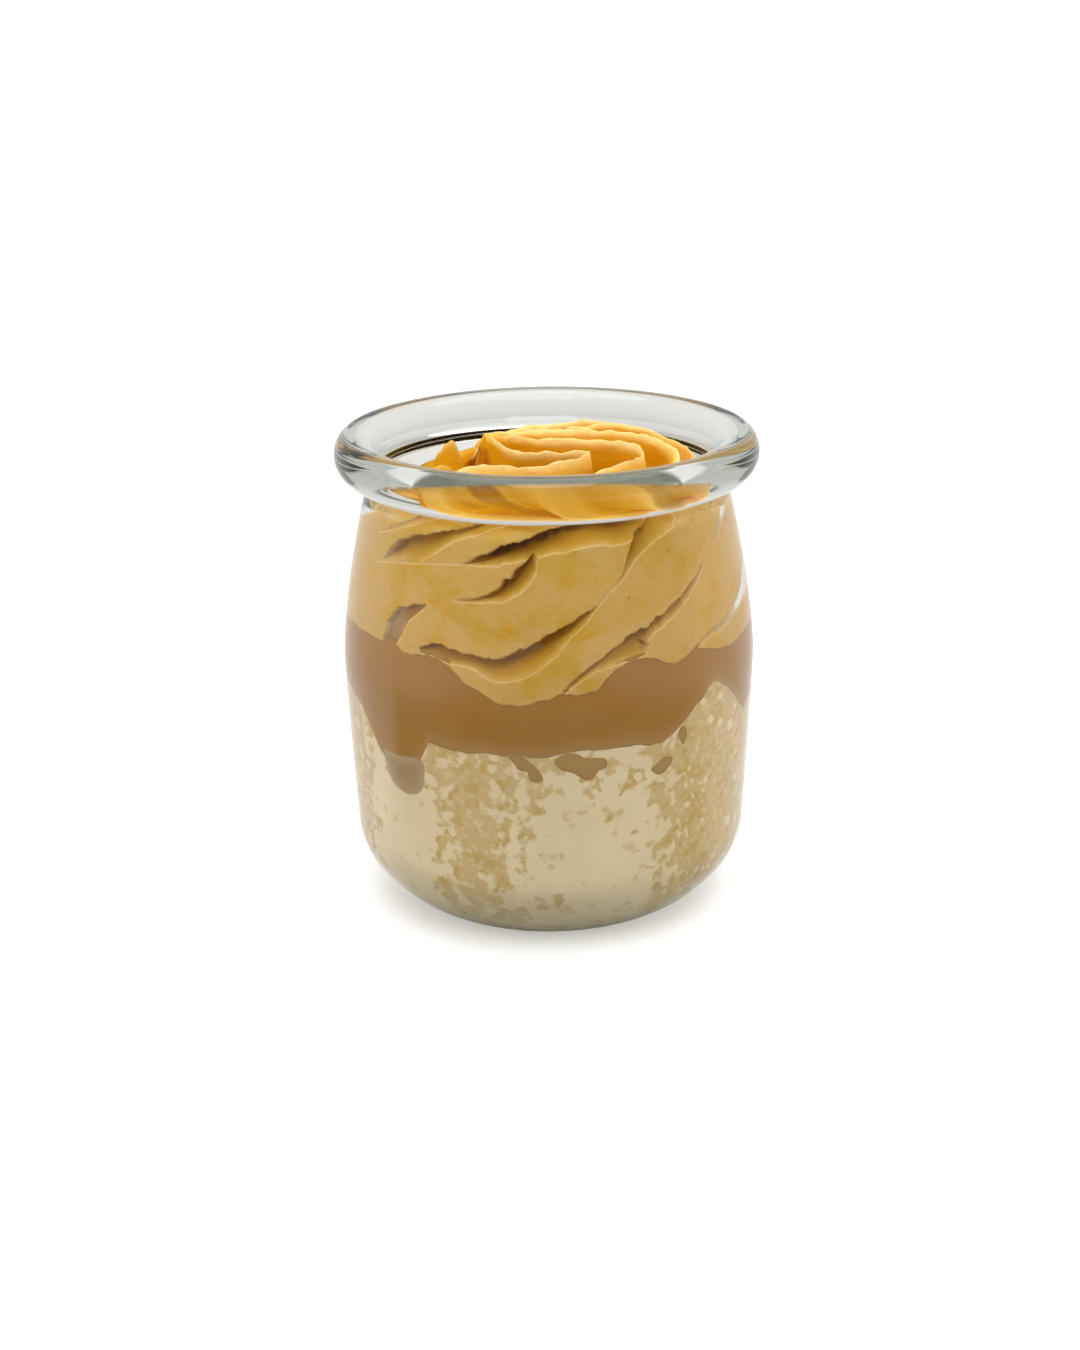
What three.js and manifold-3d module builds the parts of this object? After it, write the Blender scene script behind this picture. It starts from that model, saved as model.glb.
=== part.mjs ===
// A layered dessert in a small glass jar: sponge cake soaked in milk cream at the bottom, a layer of
// caramel, and one twisted swirl of piped lucuma cream whose lobes lie flat against the glass.
// Millimetres, +Z up, with the origin at the centre of the jar's base.
// Angles round the jar are in degrees from its front, -Y, and grow towards its right hand side, +X.
import * as THREE from 'three';
import { mergeVertices } from 'three/addons/utils/BufferGeometryUtils.js';
import Module from 'manifold-3d';

// Glass jar
const JAR_HEIGHT = 81.75;
const BASE_FLAT_RADIUS = 16;
const HEEL_HEIGHT = 15.2;
const HEEL_RADIUS = 33.6;
const BELLY_HEIGHT = 44;
const BELLY_RADIUS = 34.8;
const NECK_HEIGHT = 73.65;
const NECK_RADIUS = 29.8;
const RIM_WIDEST_HEIGHT = 78.4;
const RIM_RADIUS = 35;
const RIM_CROWN_RADIUS = 32.6;
const MOUTH_HEIGHT = 79.8;
const MOUTH_RADIUS = 28.85;
const THROAT_HEIGHT = 77;
const THROAT_RADIUS = 28.1;
const WALL = 2.4;
const FLOOR = 3.2;
const LOWER_WALL_CURVE = 1.2;
const SHOULDER_CURVE = 1.5;
const JAR_SIDES = 48;

// Layers, with a small clearance to the glass and to each other
const CLEARANCE = 0.3;
const MILK_CLEARANCE = 0.6;
const CAKE_FLOOR = 6.6;
const CAKE_TOP = 37.4;
const CARAMEL_TOP = 51.3;
const CARAMEL_TOP_MIDDLE = 49;
const LAYER_SIDES = 60;

// Where the caramel runs down past the cake (negative) or the cake stands up into it, at the glass
const CARAMEL_RUNS = [
  { angle: -78, spread: 10, rise: 3.2 },
  { angle: -51, spread: 6, rise: -4.6 },
  { angle: -41.5, spread: 5.5, rise: -4.2 },
  { angle: -12, spread: 13, rise: -0.5 },
  { angle: 52, spread: 8.5, rise: 7.2 },
  { angle: 76, spread: 7, rise: -2.5 },
  { angle: 128, spread: 10, rise: -5 },
  { angle: 170, spread: 12, rise: 3.5 },
  { angle: 214, spread: 9, rise: -6 },
  { angle: 255, spread: 11, rise: 2.5 },
];
const RUN_INNER_SHARE = 0.72;
const FACE_SHARES = [0.45, 0.7, 0.8, 0.9];

// Where lobes of the cream press down into the caramel, at the glass
const CREAM_DIPS = [
  { angle: -9, spread: 12, rise: -6.1 },
  { angle: 10, spread: 7, rise: -3.2 },
  { angle: 36, spread: 5, rise: -1.2 },
  { angle: 98, spread: 12, rise: -3.2 },
  { angle: 149, spread: 11, rise: -2 },
  { angle: 205, spread: 13, rise: -4.6 },
  { angle: 262, spread: 10, rise: -1.6 },
];

// Pockets of milk cream between the cake and the glass
const MILK_POCKETS = [
  { angle: -47, spread: 12, top: 31 },
  { angle: 7, spread: 22, top: 33 },
  { angle: 96, spread: 15, top: 27 },
  { angle: 152, spread: 12, top: 31 },
  { angle: 200, spread: 13, top: 24 },
  { angle: 247, spread: 14, top: 30 },
];
const POCKET_DEPTH = 3;
const POCKET_EDGE = 4;

// Piped cream. Each groove between two lobes is at its angle at GROOVE_HEIGHT, trails back by its
// trail over the ten millimetres below and leans on by its lean over the ten millimetres above.
const GROOVE_HEIGHT = 60;
const GROOVE_SPAN = 10;
const GROOVES = [
  { angle: -116, trail: 24, trailBow: 0.9, lean: 40, leanBow: 0.9, gape: 61, width: 3, valley: 0 },
  { angle: -91, trail: 22, trailBow: 0.8, lean: 52, leanBow: 0.75, gape: 68, width: 4.6, valley: 2 },
  { angle: -38, trail: 17, trailBow: 0.6, lean: 32, leanBow: 0.7, gape: 56, width: 4.4, valley: 3.5 },
  { angle: 10, trail: 47, trailBow: 1.35, lean: 18, leanBow: 0.9, gape: 54, width: 4.4, valley: 4.5 },
  { angle: 40, trail: 31, trailBow: 1, lean: 26, leanBow: 0.9, gape: 55, width: 2.6, valley: 5.5 },
  { angle: 88, trail: 44, trailBow: 1.4, lean: 19, leanBow: 0.8, gape: 60, width: 3.8, valley: 6.5 },
  { angle: 117, trail: 28, trailBow: 1, lean: 21, leanBow: 0.8, gape: 54, width: 3.6, valley: 7.5 },
  { angle: 147, trail: 30, trailBow: 1.1, lean: 26, leanBow: 0.8, gape: 58, width: 3.4, valley: 8.5 },
  { angle: 180, trail: 28, trailBow: 0.9, lean: 27, leanBow: 0.9, gape: 62, width: 3.2, valley: 9.5 },
  { angle: 208, trail: 28, trailBow: 1, lean: 30, leanBow: 0.8, gape: 58, width: 4, valley: 10.5 },
];
const GROOVE_LEAST_WIDTH = 1.2;
const GAPE_SPREAD = 4.5;
const GROOVE_DEPTH = 4;
const GROOVE_FOOT = 2.5;
const BEND_HEIGHT = 67;
const SHOULDER_HEIGHT = 73.2;
const SLUMP = { angle: -108, spread: 32, rise: -2.6 };

// Ridges and deep valleys of the swirl's free top. Each leaves the glass at its start and passes the
// points of its path on the way to the tip. A groove on the glass runs into the valley at its place
// in this list, where a half is the valley between two ridges.
const TIP = [-10.2, -2.6, 81.5];
const ARMS = [
  { start: -64, path: [[-17, -13, 73.8], [-8, -12, 74.6], [-3, -10.5, 76], [-7.6, -7.2, 76.6]] },
  { start: -45, path: [[-13.5, -15, 78.4], [-1, -14.6, 78.9], [6, -11.8, 80.4], [-2, -8, 80.2]] },
  { start: -26, path: [[-1, -19.4, 76.4], [9, -15, 77], [8.6, -9.6, 76.4], [-1, -6.2, 77.6]] },
  { start: -5, path: [[8, -18, 78.6], [15.2, -12.6, 79.9], [12.2, -5.8, 80.7], [-1, -3.6, 80.8]] },
  { start: 25, path: [[20.5, -14, 79], [19.2, -5, 80.3], [10.5, 1.6, 80.7], [-2.4, 1.4, 80.6]] },
  { start: 57.5, path: [[23.8, -9.6, 78.4], [20.8, -1.2, 79.7], [12.4, 6.6, 80.7], [-1.6, 5, 79.6]] },
  { start: 93.5, path: [[24.4, 4.2, 75.8], [17.6, 11.4, 77.8], [7.6, 12.6, 79.9], [-4.6, 7.6, 79]] },
  { start: 130, path: [[15.4, 18.6, 76.6], [6, 19.4, 78], [-3.8, 15, 78.2], [-8.2, 7.6, 78]] },
  { start: 166, path: [[0.4, 23.4, 76.2], [-8.2, 20, 76.4], [-12, 13.2, 76], [-11.4, 5.2, 77]] },
  { start: 202, path: [[-14.6, 18, 74], [-17.4, 11.6, 73.8], [-15.4, 6.8, 75], [-12.6, 2.6, 76]] },
  { start: 238, path: [[-21, 7.6, 72], [-17.6, 3, 77.6], [-15.4, 1, 79.4], [-12.6, -1.8, 74.8]] },
  { start: 277, path: [[-21.6, -8.6, 72], [-19, -7, 76.6], [-16, -5, 76.4], [-12.6, -4.2, 74.6]] },
];
const CRESTS = [1, 3, 4, 5, 6, 7, 8, 9, 10, 11];
const SWIRL_LIFT = [0, 0, 7];
const FULL_LIFT_RISE = 5;
const LEAST_LIFT = 0.15;
const VALLEY_DEPTH = 5;
const SHOULDER_DEPTH = 1.2;
const VALLEY_STEEPNESS = 1.7;
const VALLEY_SHARE = 0.7;
const LOBE_COLUMNS = [0, 0.06, 0.13, 0.25, 0.39, 0.5, 0.61, 0.75, 0.87, 0.94];
const WALL_ROWS = 10;
const SWIRL_ROWS = 11;

const radians = (degrees) => (degrees * Math.PI) / 180;
const clamp = (value, low, high) => Math.min(Math.max(value, low), high);
const mix = (from, to, share) => from + (to - from) * share;

function smooth(low, high, value) {
  const share = clamp((value - low) / (high - low), 0, 1);
  return share * share * (3 - 2 * share);
}

// A bell round the circle, 1 at the angle and falling off over the spread
function bell(angle, centre, spread) {
  const turn = ((((angle - centre) % 360) + 540) % 360) - 180;
  return Math.exp(-((turn / spread) ** 2));
}

function bumps(list, angle) {
  return list.reduce((sum, item) => sum + item.rise * bell(angle, item.angle, item.spread), 0);
}

// Outer radius of the jar's wall between its heel and its neck
function outerRadius(height) {
  if (height <= BELLY_HEIGHT) {
    const share = (BELLY_HEIGHT - height) / (BELLY_HEIGHT - HEEL_HEIGHT);
    return BELLY_RADIUS - (BELLY_RADIUS - HEEL_RADIUS) * share ** LOWER_WALL_CURVE;
  }
  const share = (height - BELLY_HEIGHT) / (NECK_HEIGHT - BELLY_HEIGHT);
  return BELLY_RADIUS - (BELLY_RADIUS - NECK_RADIUS) * Math.min(share, 1) ** SHOULDER_CURVE;
}

// Inner radius of the jar at a height, from its floor to its throat
function innerRadius(height) {
  const wallFoot = outerRadius(HEEL_HEIGHT) - WALL;
  if (height < HEEL_HEIGHT) {
    const drop = clamp((HEEL_HEIGHT - height) / (HEEL_HEIGHT - FLOOR), 0, 1);
    const flat = BASE_FLAT_RADIUS - WALL;
    return flat + (wallFoot - flat) * Math.sqrt(1 - drop * drop);
  }
  return Math.max(outerRadius(Math.min(height, NECK_HEIGHT)) - WALL, THROAT_RADIUS);
}

// Radius of what fills the jar at a height, clear of the wall and of the rounded floor
function fillRadius(height) {
  return Math.min(innerRadius(height), innerRadius(height - CLEARANCE)) - CLEARANCE;
}

// Points of a quarter ellipse, from one end up to but not at the other
function quarter(centreRadius, centreHeight, across, up, fromDegrees, toDegrees, steps) {
  return Array.from({ length: steps }, (_, step) => {
    const turn = radians(mix(fromDegrees, toDegrees, step / steps));
    return [centreRadius + across * Math.cos(turn), centreHeight + up * Math.sin(turn)];
  });
}

function jarProfile() {
  const heelSteps = 5;
  const wallSteps = 7;
  const rimSteps = 3;
  const points = [[0, 0], [BASE_FLAT_RADIUS, 0]];
  const heelReach = HEEL_RADIUS - BASE_FLAT_RADIUS;
  points.push(...quarter(BASE_FLAT_RADIUS, HEEL_HEIGHT, heelReach, HEEL_HEIGHT, -75, 0, heelSteps));
  for (let step = 0; step < wallSteps; step += 1) {
    const height = mix(HEEL_HEIGHT, NECK_HEIGHT, step / wallSteps);
    points.push([outerRadius(height), height]);
  }
  const underReach = RIM_RADIUS - NECK_RADIUS;
  const underDrop = RIM_WIDEST_HEIGHT - NECK_HEIGHT;
  points.push(...quarter(NECK_RADIUS, RIM_WIDEST_HEIGHT, underReach, underDrop, -90, 0, rimSteps));
  const crownReach = RIM_RADIUS - RIM_CROWN_RADIUS;
  const crownRise = JAR_HEIGHT - RIM_WIDEST_HEIGHT;
  points.push(...quarter(RIM_CROWN_RADIUS, RIM_WIDEST_HEIGHT, crownReach, crownRise, 0, 90, rimSteps));
  const lipReach = RIM_CROWN_RADIUS - MOUTH_RADIUS;
  const lipRise = JAR_HEIGHT - MOUTH_HEIGHT;
  points.push(...quarter(RIM_CROWN_RADIUS, MOUTH_HEIGHT, lipReach, lipRise, 90, 180, rimSteps));
  points.push([MOUTH_RADIUS, MOUTH_HEIGHT], [THROAT_RADIUS, THROAT_HEIGHT]);
  for (let step = 0; step <= wallSteps; step += 1) {
    const height = mix(NECK_HEIGHT, HEEL_HEIGHT, step / wallSteps);
    points.push([innerRadius(height), height]);
  }
  for (let step = 1; step <= heelSteps; step += 1) {
    const drop = Math.sin(radians((90 * step) / heelSteps));
    const height = mix(HEEL_HEIGHT, FLOOR, drop);
    points.push([innerRadius(height), height]);
  }
  points.push([0, FLOOR]);
  return points;
}

function glassJar() {
  const profile = jarProfile().map(([radius, height]) => new THREE.Vector2(radius, height));
  const geometry = new THREE.LatheGeometry(profile, JAR_SIDES);
  return weld(geometry.rotateX(Math.PI / 2));
}

// Keeps positions alone and joins the vertices that share a place
function weld(geometry) {
  geometry.deleteAttribute('normal');
  geometry.deleteAttribute('uv');
  const welded = mergeVertices(geometry, 1e-4);
  const index = welded.getIndex().array;
  const kept = [];
  for (let corner = 0; corner < index.length; corner += 3) {
    const [a, b, c] = [index[corner], index[corner + 1], index[corner + 2]];
    if (a !== b && b !== c && a !== c) kept.push(a, b, c);
  }
  welded.setIndex(kept);
  return welded;
}

// A closed body of rings, each square split along its shorter diagonal. Each ring is a list of
// points, and the first and the last are one point.
function ringBody(rings) {
  const sides = rings[1].length;
  const positions = [...rings[0][0]];
  for (const ring of rings.slice(1, -1)) ring.forEach((point) => positions.push(...point));
  positions.push(...rings.at(-1)[0]);
  const at = (ring, side) => 1 + (ring - 1) * sides + (side % sides);
  const last = positions.length / 3 - 1;
  const apart = (a, b) => Math.hypot(...[0, 1, 2].map((k) => positions[3 * a + k] - positions[3 * b + k]));
  const index = [];
  for (let side = 0; side < sides; side += 1) {
    index.push(0, at(1, side + 1), at(1, side));
    index.push(last, at(rings.length - 2, side), at(rings.length - 2, side + 1));
    for (let ring = 1; ring < rings.length - 2; ring += 1) {
      const [a, b] = [at(ring, side), at(ring, side + 1)];
      const [c, d] = [at(ring + 1, side + 1), at(ring + 1, side)];
      if (apart(a, c) <= apart(b, d)) index.push(a, b, c, a, c, d);
      else index.push(a, b, d, b, c, d);
    }
  }
  const geometry = new THREE.BufferGeometry();
  geometry.setAttribute('position', new THREE.Float32BufferAttribute(positions, 3));
  geometry.setIndex(index);
  return geometry;
}

// The point at an angle from the front, a radius and a height
function around(angle, radius, height) {
  const turn = radians(angle);
  return [radius * Math.sin(turn), -radius * Math.cos(turn), height];
}

// Height of the face between cake and caramel. The share is 0 on the axis and 1 at the glass.
function cakeTop(angle, share) {
  return CAKE_TOP + bumps(CARAMEL_RUNS, angle) * smooth(RUN_INNER_SHARE, 1, share);
}

// Height of the face between caramel and cream
function caramelTop(angle, share) {
  const atGlass = CARAMEL_TOP + bumps(CREAM_DIPS, angle);
  return mix(CARAMEL_TOP_MIDDLE, atGlass, smooth(0.3, 1, share));
}

// How far the cake stands back from the glass where a pocket of milk cream is
function pocketDepth(angle, height) {
  return MILK_POCKETS.reduce((deepest, pocket) => {
    const side = smooth(0.25, 0.6, bell(angle, pocket.angle, pocket.spread));
    const below = 1 - smooth(pocket.top - POCKET_EDGE, pocket.top, height);
    return Math.max(deepest, POCKET_DEPTH * side * below);
  }, 0);
}

function ring(sides, point) {
  return Array.from({ length: sides }, (_, side) => point((360 * side) / sides));
}

// The cake, grown all over by a margin when it is the cutter for the milk cream
function cakeBody(margin) {
  const floorSteps = 2;
  const wallSteps = 8;
  const foot = CAKE_FLOOR - margin;
  const topShift = CLEARANCE / 2 - margin;
  const cakeRadius = (angle, height) => {
    const standing = Math.max(height, CAKE_FLOOR);
    return fillRadius(standing) - pocketDepth(angle, height) + margin;
  };
  const rings = [ring(LAYER_SIDES, () => [0, 0, foot])];
  for (let step = 1; step <= floorSteps; step += 1) {
    const share = step / floorSteps;
    rings.push(ring(LAYER_SIDES, (angle) => around(angle, cakeRadius(angle, CAKE_FLOOR) * share, foot)));
  }
  for (let step = 1; step <= wallSteps; step += 1) {
    const shift = step === wallSteps ? topShift : 0;
    rings.push(ring(LAYER_SIDES, (angle) => {
      const height = mix(CAKE_FLOOR, cakeTop(angle, 1), step / wallSteps);
      return around(angle, cakeRadius(angle, height), height - shift);
    }));
  }
  for (const share of FACE_SHARES.toReversed()) {
    rings.push(ring(LAYER_SIDES, (angle) => {
      const radius = fillRadius(cakeTop(angle, 1)) * share;
      return around(angle, radius, cakeTop(angle, share) - topShift);
    }));
  }
  rings.push(ring(LAYER_SIDES, () => [0, 0, CAKE_TOP - topShift]));
  return ringBody(rings);
}

// The milk cream fills the jar below the caramel, and the cake is cut out of it
function milkBlank() {
  const heelSteps = 5;
  const wallSteps = 4;
  const foot = FLOOR + CLEARANCE;
  const milkTop = (angle) => Math.min(cakeTop(angle, 1), CAKE_TOP) - CLEARANCE;
  const rings = [ring(LAYER_SIDES, () => [0, 0, foot])];
  for (let step = 0; step <= heelSteps; step += 1) {
    const height = mix(foot, HEEL_HEIGHT, 1 - Math.cos(radians((90 * step) / heelSteps)));
    rings.push(ring(LAYER_SIDES, (angle) => around(angle, fillRadius(height), height)));
  }
  for (let step = 1; step <= wallSteps; step += 1) {
    rings.push(ring(LAYER_SIDES, (angle) => {
      const height = mix(HEEL_HEIGHT, milkTop(angle), step / wallSteps);
      return around(angle, fillRadius(height), height);
    }));
  }
  rings.push(ring(LAYER_SIDES, () => [0, 0, CAKE_TOP - CLEARANCE]));
  return ringBody(rings);
}

function caramelBody() {
  const wallSteps = 4;
  const gap = CLEARANCE / 2;
  const rings = [ring(LAYER_SIDES, () => [0, 0, CAKE_TOP + gap])];
  for (const share of FACE_SHARES) {
    rings.push(ring(LAYER_SIDES, (angle) => {
      const height = cakeTop(angle, share) + gap;
      return around(angle, fillRadius(cakeTop(angle, 1)) * share, height);
    }));
  }
  for (let step = 0; step <= wallSteps; step += 1) {
    rings.push(ring(LAYER_SIDES, (angle) => {
      const height = mix(cakeTop(angle, 1) + gap, caramelTop(angle, 1) - gap, step / wallSteps);
      return around(angle, fillRadius(height), height);
    }));
  }
  for (const share of FACE_SHARES.toReversed()) {
    rings.push(ring(LAYER_SIDES, (angle) => {
      const height = caramelTop(angle, share) - gap;
      return around(angle, fillRadius(caramelTop(angle, 1)) * share, height);
    }));
  }
  rings.push(ring(LAYER_SIDES, () => [0, 0, CARAMEL_TOP_MIDDLE - gap]));
  return ringBody(rings);
}

// Angle of a groove at a height, held below the caramel's top and above the shoulder
function grooveAngle(groove, height) {
  const above = clamp(height, CARAMEL_TOP, SHOULDER_HEIGHT) - GROOVE_HEIGHT;
  if (above < 0) return groove.angle - groove.trail * (-above / GROOVE_SPAN) ** groove.trailBow;
  return groove.angle + groove.lean * (above / GROOVE_SPAN) ** groove.leanBow;
}

// Width of a groove's open mouth at the glass
function grooveWidth(groove, height) {
  const gape = Math.exp(-(((height - groove.gape) / GAPE_SPREAD) ** 2));
  return mix(GROOVE_LEAST_WIDTH, groove.width, gape);
}

// The angle where the ridge or valley at a place in the list of arms leaves the glass
function armAngle(place) {
  const number = Math.floor(place);
  const [from, to] = [ARMS[number % ARMS.length], ARMS[(number + 1) % ARMS.length]];
  const width = (((to.start - from.start) % 360) + 360) % 360;
  return from.start + width * (place - number);
}

// A column of the swirl: the groove to its left, the one to its right, its share between them and
// its place in the list of arms
function swirlColumns() {
  const columns = [];
  GROOVES.forEach((left, number) => {
    const last = number + 1 === GROOVES.length;
    const right = GROOVES[(number + 1) % GROOVES.length];
    const valleyAfter = last ? ARMS.length : right.valley;
    LOBE_COLUMNS.forEach((share) => {
      const before = mix(left.valley, CRESTS[number], 2 * share);
      const place = share < 0.5 ? before : mix(CRESTS[number], valleyAfter, 2 * share - 1);
      columns.push({ left, right, wrap: last ? 360 : 0, share, place });
    });
  });
  return columns;
}

// Angle of a column, which follows its grooves low on the glass and its arm at the shoulder
function columnAngle(column, height) {
  const from = grooveAngle(column.left, height);
  const to = grooveAngle(column.right, height) + column.wrap;
  const bend = smooth(BEND_HEIGHT, SHOULDER_HEIGHT, height);
  return mix(mix(from, to, column.share), armAngle(column.place), bend);
}

// Height where the cream leaves the glass
function shoulderHeight(angle) {
  return SHOULDER_HEIGHT + bumps([SLUMP], angle);
}

// Depth below the lobe's face at a column: a steep sided groove with its floor rounded, which runs
// out where the cream stands on the caramel
function grooveDepth(column, height) {
  const from = grooveAngle(column.left, height);
  const to = grooveAngle(column.right, height) + column.wrap;
  const lobe = radians(to - from) * innerRadius(height);
  const fromLeft = column.share * lobe;
  const fromRight = (1 - column.share) * lobe;
  const cut = (distance, groove) => 1 - smooth(0, grooveWidth(groove, height), distance);
  const foot = caramelTop(mix(from, to, column.share), 1);
  const lowest = SHOULDER_HEIGHT + SLUMP.rise;
  const full = mix(GROOVE_DEPTH, SHOULDER_DEPTH, smooth(BEND_HEIGHT, lowest, height));
  const deepest = full * smooth(foot, foot + GROOVE_FOOT, height);
  return deepest * Math.max(cut(fromLeft, column.left), cut(fromRight, column.right));
}

// Point of an arm, on a smooth curve that leaves the glass upwards, and more so where the arm rises
// more. The share is 0 at the glass.
function armPoint(arm, share) {
  const radius = fillRadius(SHOULDER_HEIGHT);
  const points = [around(arm.start, radius, shoulderHeight(arm.start)), ...arm.path, TIP];
  const lift = clamp((points[1][2] - points[0][2]) / FULL_LIFT_RISE, LEAST_LIFT, 1);
  const last = points.length - 1;
  const step = Math.min(Math.floor(share * last), last - 1);
  const t = share * last - step;
  const tangent = (number, k) => {
    if (number === 0) return SWIRL_LIFT[k] * lift;
    if (number === last) return points[last][k] - points[last - 1][k];
    return (points[number + 1][k] - points[number - 1][k]) / 2;
  };
  return TIP.map((_, k) => {
    const ends = mix(points[step][k], points[step + 1][k], t * t * (3 - 2 * t));
    return ends + t * (1 - t) * ((1 - t) * tangent(step, k) - t * tangent(step + 1, k));
  });
}

// Shape of a valley between two arms, 0 on an arm and 1 in its floor
function valleyShape(between) {
  const off = Math.abs(2 * between - 1);
  const sharp = 1 - off ** VALLEY_STEEPNESS;
  return mix(0.5 + 0.5 * Math.cos(Math.PI * off), sharp, VALLEY_SHARE);
}

// The free top of the swirl. The share is 0 at the shoulder and 1 at the tip.
function swirlPoint(column, share) {
  const number = Math.floor(column.place);
  const between = column.place - number;
  const [from, to] = [ARMS[number % ARMS.length], ARMS[(number + 1) % ARMS.length]];
  const [a, b] = [armPoint(from, share), armPoint(to, share)];
  const [startA, startB] = [armPoint(from, 0), armPoint(to, 0)];
  const angle = armAngle(column.place);
  const start = around(angle, fillRadius(SHOULDER_HEIGHT), shoulderHeight(angle));
  const free = smooth(0, 0.3, share);
  const spacing = Math.hypot(...a.map((value, k) => value - b[k]));
  const room = mix(a[2], b[2], between) - SHOULDER_HEIGHT + SHOULDER_DEPTH;
  const valley = Math.max(Math.min(VALLEY_DEPTH, 0.8 * spacing, room), 0) * valleyShape(between);
  const depth = mix(grooveDepth(column, SHOULDER_HEIGHT), valley * (1 - smooth(0.8, 1, share)), free);
  const way = [...around(angle, free - 1, 0).slice(0, 2), -free];
  return a.map((value, k) => {
    const bulge = start[k] - mix(startA[k], startB[k], between);
    return mix(value, b[k], between) + bulge * (1 - free) + way[k] * depth;
  });
}

function creamBody() {
  const columns = swirlColumns();
  const gap = CLEARANCE * 0.75;
  const rings = [columns.map(() => [0, 0, CARAMEL_TOP_MIDDLE + gap])];
  const underAngle = (column) => columnAngle(column, CARAMEL_TOP);
  const under = (column, share) => caramelTop(underAngle(column), share) + gap;
  const face = (column, height) => fillRadius(height) - grooveDepth(column, height);
  for (const share of FACE_SHARES) {
    rings.push(columns.map((column) => {
      const radius = face(column, under(column, 1)) * share;
      return around(underAngle(column), radius, under(column, share));
    }));
  }
  for (let step = 0; step < WALL_ROWS; step += 1) {
    rings.push(columns.map((column) => {
      const leave = shoulderHeight(armAngle(column.place));
      const height = mix(under(column, 1), leave, step / WALL_ROWS);
      return around(columnAngle(column, height), face(column, height), height);
    }));
  }
  for (let step = 0; step < SWIRL_ROWS; step += 1) {
    rings.push(columns.map((column) => swirlPoint(column, step / SWIRL_ROWS)));
  }
  rings.push(columns.map(() => swirlPoint(columns[0], 1)));
  return ringBody(rings);
}

const wasm = await Module();
wasm.setup();

function toManifold(geometry) {
  return new wasm.Manifold(new wasm.Mesh({
    numProp: 3,
    vertProperties: geometry.getAttribute('position').array,
    triVerts: Uint32Array.from(geometry.getIndex().array),
  }));
}

function fromManifold(solid) {
  const mesh = solid.getMesh();
  const geometry = new THREE.BufferGeometry();
  geometry.setAttribute('position', new THREE.Float32BufferAttribute(mesh.vertProperties, 3));
  geometry.setIndex(Array.from(mesh.triVerts));
  return geometry;
}

// The body that is left of a cut solid without its loose scraps
function largestPiece(solid) {
  const pieces = solid.decompose().sort((a, b) => b.volume() - a.volume());
  return fromManifold(pieces[0]);
}

function milkBody() {
  return largestPiece(toManifold(milkBlank()).subtract(toManifold(cakeBody(MILK_CLEARANCE))));
}

function piece(name, geometry, color, roughness) {
  const material = new THREE.MeshStandardMaterial({ color, roughness, metalness: 0 });
  geometry.computeVertexNormals();
  const mesh = new THREE.Mesh(geometry, material);
  mesh.name = name;
  return mesh;
}

const dessert = new THREE.Group();
const glass = piece('glass_jar', glassJar(), 0xdfe6e2, 0.05);
glass.material.transparent = true;
glass.material.opacity = 0.35;
dessert.add(glass);
dessert.add(piece('milk_cream', milkBody(), 0xd2be9e, 0.5));
dessert.add(piece('sponge_cake', cakeBody(0), 0xc0a87e, 0.85));
dessert.add(piece('caramel', caramelBody(), 0x906733, 0.35));
dessert.add(piece('lucuma_cream', creamBody(), 0xe5b04c, 0.55));

export default dessert;
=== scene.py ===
"""A lucuma tiramisu in a small glass jar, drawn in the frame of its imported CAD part.

The jar is clear pressed glass. From the bottom it holds milk cream with sponge cake soaked in it, a
layer of caramel and one twisted swirl of piped lucuma cream, whose lobes are pressed flat on the
glass. Lengths are in millimetres and become metres where a mesh is made. Angles round the jar are
in degrees from its front, -Y, and grow towards +X.
"""
import logging
import math
from dataclasses import dataclass
from enum import Enum

import bpy
import numpy as np
from mathutils import Matrix, Vector


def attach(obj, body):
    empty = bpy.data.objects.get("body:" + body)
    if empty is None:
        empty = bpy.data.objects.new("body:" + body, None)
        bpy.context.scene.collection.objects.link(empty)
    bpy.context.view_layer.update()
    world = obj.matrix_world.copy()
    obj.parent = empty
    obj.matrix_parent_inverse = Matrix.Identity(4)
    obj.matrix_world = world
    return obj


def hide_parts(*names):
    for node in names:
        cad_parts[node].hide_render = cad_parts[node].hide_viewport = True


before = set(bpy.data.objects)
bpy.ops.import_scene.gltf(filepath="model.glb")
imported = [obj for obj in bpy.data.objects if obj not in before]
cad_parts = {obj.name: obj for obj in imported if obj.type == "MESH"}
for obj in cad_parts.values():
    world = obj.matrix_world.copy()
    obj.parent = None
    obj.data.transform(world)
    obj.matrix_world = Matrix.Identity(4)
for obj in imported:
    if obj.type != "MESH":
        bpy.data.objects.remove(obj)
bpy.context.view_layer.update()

MM = 0.001
# Distance to an edge where there is none near
NO_EDGE = 9.0
LOG = logging.getLogger("tiramisu")
Colour = tuple[float, float, float]
Point = tuple[float, float, float]
Socket = bpy.types.NodeSocket


def smooth(low: float, high: float, value: np.ndarray) -> np.ndarray:
    """Returns a soft step from 0 at low to 1 at high."""
    share = np.clip((value - low) / (high - low), 0.0, 1.0)
    return share * share * (3.0 - 2.0 * share)


def mix(start: np.ndarray, end: np.ndarray, share: np.ndarray) -> np.ndarray:
    """Returns the value that lies a share of the way from start to end."""
    return start + (end - start) * share


def turn_between(angle: np.ndarray, centre: float) -> np.ndarray:
    """Returns the turn from a centre to an angle, between -180 and 180 degrees."""
    return (angle - centre + 180.0) % 360.0 - 180.0


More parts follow.
